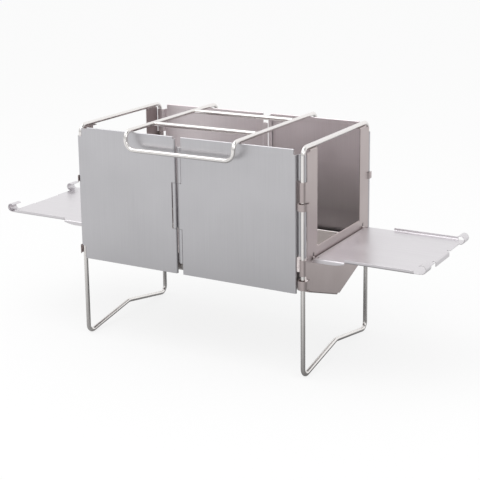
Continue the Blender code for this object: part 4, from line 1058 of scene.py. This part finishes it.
def colour_setting(name, description, code):
    """A colour that a user can change, given as its sRGB hex value."""
    return bpy.props.FloatVectorProperty(
        name=name, description=description, subtype="COLOR", size=3, min=0.0, max=1.0, default=linear(code)
    )


def roughness_setting(name, description, value):
    """A roughness that a user can change."""
    return bpy.props.FloatProperty(
        name=name, description=description, subtype="FACTOR", default=value, min=0.0, max=1.0
    )


class StandSizes(bpy.types.PropertyGroup):
    """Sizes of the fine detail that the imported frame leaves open."""

    edge_rounding: bpy.props.FloatProperty(
        name="Edge rounding",
        description="Width of the rounding that tumbling leaves on the cut edges of the sheets",
        default=0.00018, min=0.00005, max=0.0003, precision=5, unit="LENGTH",
    )  # fmt: skip
    rod_sides: bpy.props.IntProperty(
        name="Rod sides", description="Number of sides of a rod's round section", default=24, min=12, max=48
    )


class StandFinishes(bpy.types.PropertyGroup):
    """Colours and roughness of the sheets, rods and pins."""

    wall_colour: colour_setting("Wall sheet", "Colour of the brushed wall panels", "#C8C7CA")
    # paler than the wall sheet, partly as rolled metal and partly as painted light
    inner_colour: colour_setting("Inner side", "Colour of the unbrushed inner side of the walls", "#EEE6E8")
    wall_roughness: roughness_setting("Wall roughness", "Roughness of the wall panels and end plates", 0.36)
    end_colour: colour_setting("End sheet", "Colour of the end plates, warmer than the walls", "#BEB3B2")
    table_colour: colour_setting("Table sheet", "Colour of the satin side tables", "#DDDADD")
    table_roughness: roughness_setting("Table roughness", "Roughness of the satin side tables", 0.32)
    bed_colour: colour_setting("Fire bed sheet", "Colour of the brushed fire bed", "#E0DCDA")
    bed_roughness: roughness_setting("Fire bed roughness", "Roughness of the brushed fire bed", 0.36)
    rod_colour: colour_setting("Rod", "Colour of the polished rods", "#EFECEA")
    rod_roughness: roughness_setting("Rod roughness", "Roughness of the polished rods", 0.2)
    pin_colour: colour_setting("Hinge pin", "Colour of the drawn hinge pins", "#C2BFBB")
    pin_roughness: roughness_setting("Pin roughness", "Roughness of the drawn hinge pins", 0.3)


# Pieces


class STAND_OT_rod_frames(bpy.types.Operator):
    """Two closed rod loops: legs, top rails and foot bars"""

    bl_idname = "stand.rod_frames"
    bl_label = "Rod Frames"

    def execute(self, context):
        for word, turned in (("right", False), ("left", True)):
            item = rod_piece(f"{word}_rod_loop", frame_path(), ROD_RADIUS, closed=True, half_turn=turned)
            settle(item, polished_stainless_rod, "stand", "polished_rod", f"{word}_rod_frame")
        return {"FINISHED"}


class STAND_OT_wall_panels(bpy.types.Operator):
    """Four wall panels, hinged round the legs, and the links between them"""

    bl_idname = "stand.wall_panels"
    bl_label = "Wall Panels"

    def execute(self, context):
        for make, node, turned in (
            (leg_wrapped_panel, "front_left_panel", False),
            (leg_wrapped_panel, "back_right_panel", True),
            (far_wrapped_panel, "front_right_panel", False),
            (far_wrapped_panel, "back_left_panel", True),
            (centre_link, "front_centre_link", False),
            (centre_link, "back_centre_link", True),
        ):
            item = make(f"{node}_sheet", turned)
            settle(item, brushed_stainless_sheet, "stand", "brushed_sheet", node)
        return {"FINISHED"}


class STAND_OT_end_plates(bpy.types.Operator):
    """Two end plates with the lugs for the side tables' pins"""

    bl_idname = "stand.end_plates"
    bl_label = "End Plates"

    def execute(self, context):
        for word, turned in (("right", False), ("left", True)):
            plate = end_plate(f"{word}_end_sheet", turned)
            settle(plate, brushed_stainless_end, "stand", "brushed_sheet", f"{word}_end_plate")
            for side, end in ((-1, "front"), (1, "back")):
                lug = table_lug(f"{word}_end_{end}_lug", side, turned)
                settle(lug, brushed_stainless_end, "stand", "brushed_sheet")
        return {"FINISHED"}


class STAND_OT_side_tables(bpy.types.Operator):
    """Two side tables that fold up over the windows"""

    bl_idname = "stand.side_tables"
    bl_label = "Side Tables"

    def execute(self, context):
        for word, turned in (("right", False), ("left", True)):
            item = side_table(f"{word}_table_sheet", turned)
            settle(item, satin_stainless_sheet, f"{word}_table", "satin_sheet", f"{word}_side_table")
        return {"FINISHED"}


class STAND_OT_fire_bed(bpy.types.Operator):
    """Two fire bed plates that fold on one pin"""

    bl_idname = "stand.fire_bed"
    bl_label = "Fire Bed"

    def execute(self, context):
        for word, body, turned in (("back", "fire_bed", False), ("front", "fire_bed_front", True)):
            item = bed_plate(f"fire_bed_{word}_sheet", turned)
            settle(item, brushed_stainless_bed, body, "fire_bed_sheet", f"fire_bed_{word}_plate")
        return {"FINISHED"}


class STAND_OT_trivet(bpy.types.Operator):
    """The trivet: one long bent rod and two bars"""

    bl_idname = "stand.trivet"
    bl_label = "Trivet"

    def execute(self, context):
        item = rod_piece("trivet_long_rod", trivet_path(), ROD_RADIUS)
        settle(item, polished_stainless_rod, "trivet", "polished_rod", "trivet_rail_and_handle")
        reach = TRIVET_RAIL_X - ROD_RADIUS - GAP
        for y, word in ((-TRIVET_BAR_Y, "front"), (TRIVET_BAR_Y, "back")):
            path = np.linspace((-reach, y, TRIVET_RAIL_Z), (reach, y, TRIVET_RAIL_Z), STRAIGHT_POINTS)
            item = rod_piece(f"trivet_{word}_cross_rod", path, ROD_RADIUS)
            settle(item, polished_stainless_rod, "trivet", "polished_rod", f"trivet_{word}_bar")
        return {"FINISHED"}


class STAND_OT_hinge_pins(bpy.types.Operator):
    """Seven hinge pins"""

    bl_idname = "stand.hinge_pins"
    bl_label = "Hinge Pins"

    def execute(self, context):
        y = -CENTRE_PIN_Y
        left, right = (((-x, y, CENTRE_LOW), (-x, y, CENTRE_HIGH)) for x in (LEFT_PIN_X, RIGHT_PIN_X))
        table_reach, bed_reach = TABLE_PIN_HALF_LENGTH, BED_PIN_HALF_LENGTH
        table = ((TABLE_AXIS_X, -table_reach, TABLE_AXIS_Z), (TABLE_AXIS_X, table_reach, TABLE_AXIS_Z))
        bed = ((-bed_reach, 0.0, BED_AXIS_Z), (bed_reach, 0.0, BED_AXIS_Z))
        for name, ends, body, turned in (
            ("front_centre_left_pin", left, "stand", False),
            ("front_centre_right_pin", right, "stand", False),
            ("back_centre_right_pin", left, "stand", True),
            ("back_centre_left_pin", right, "stand", True),
            ("right_table_hinge_pin", table, "stand", False),
            ("left_table_hinge_pin", table, "stand", True),
            ("fire_bed_hinge_pin", bed, "fire_bed", False),
        ):
            path = np.linspace(*ends, STRAIGHT_POINTS)
            item = rod_piece(name.replace("_pin", "_rod"), path, PIN_RADIUS, half_turn=turned)
            settle(item, drawn_stainless_pin, body, "hinge_pin", name)
        return {"FINISHED"}


class STAND_OT_stage(bpy.types.Operator):
    """Pale floor, soft studio light and the camera"""

    bl_idname = "stand.stage"
    bl_label = "Stage"

    def execute(self, context):
        studio_floor()
        studio_world()
        softboxes()
        photo_camera()
        context.scene.view_settings.view_transform = "Standard"
        return {"FINISHED"}


PIECES = (
    STAND_OT_rod_frames,
    STAND_OT_wall_panels,
    STAND_OT_end_plates,
    STAND_OT_side_tables,
    STAND_OT_fire_bed,
    STAND_OT_trivet,
    STAND_OT_hinge_pins,
    STAND_OT_stage,
)


class STAND_PT_sidebar(bpy.types.Panel):
    """Lists the stand's pieces, sizes and colours"""

    bl_idname = "STAND_PT_sidebar"
    bl_label = "Fire Pit Cooking Stand"
    bl_space_type = "VIEW_3D"
    bl_region_type = "UI"
    bl_category = "Stand"

    def draw(self, context):
        for piece in PIECES:
            self.layout.operator(piece.bl_idname)
        for group in (context.scene.stand_sizes, context.scene.stand_finishes):
            for key in group.__annotations__:
                self.layout.prop(group, key)


CLASSES = (StandSizes, StandFinishes, *PIECES, STAND_PT_sidebar)


def register():
    for item in CLASSES:
        bpy.utils.register_class(item)
    bpy.types.Scene.stand_sizes = bpy.props.PointerProperty(type=StandSizes)
    bpy.types.Scene.stand_finishes = bpy.props.PointerProperty(type=StandFinishes)


def unregister():
    del bpy.types.Scene.stand_finishes
    del bpy.types.Scene.stand_sizes
    for item in reversed(CLASSES):
        bpy.utils.unregister_class(item)


def main():
    register()
    for piece in PIECES:
        group, name = piece.bl_idname.split(".")
        getattr(getattr(bpy.ops, group), name)()
    boxes = [[list(corner) for corner in box] for box in (CAD_BOX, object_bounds())]


if __name__ == "__main__":
    main()
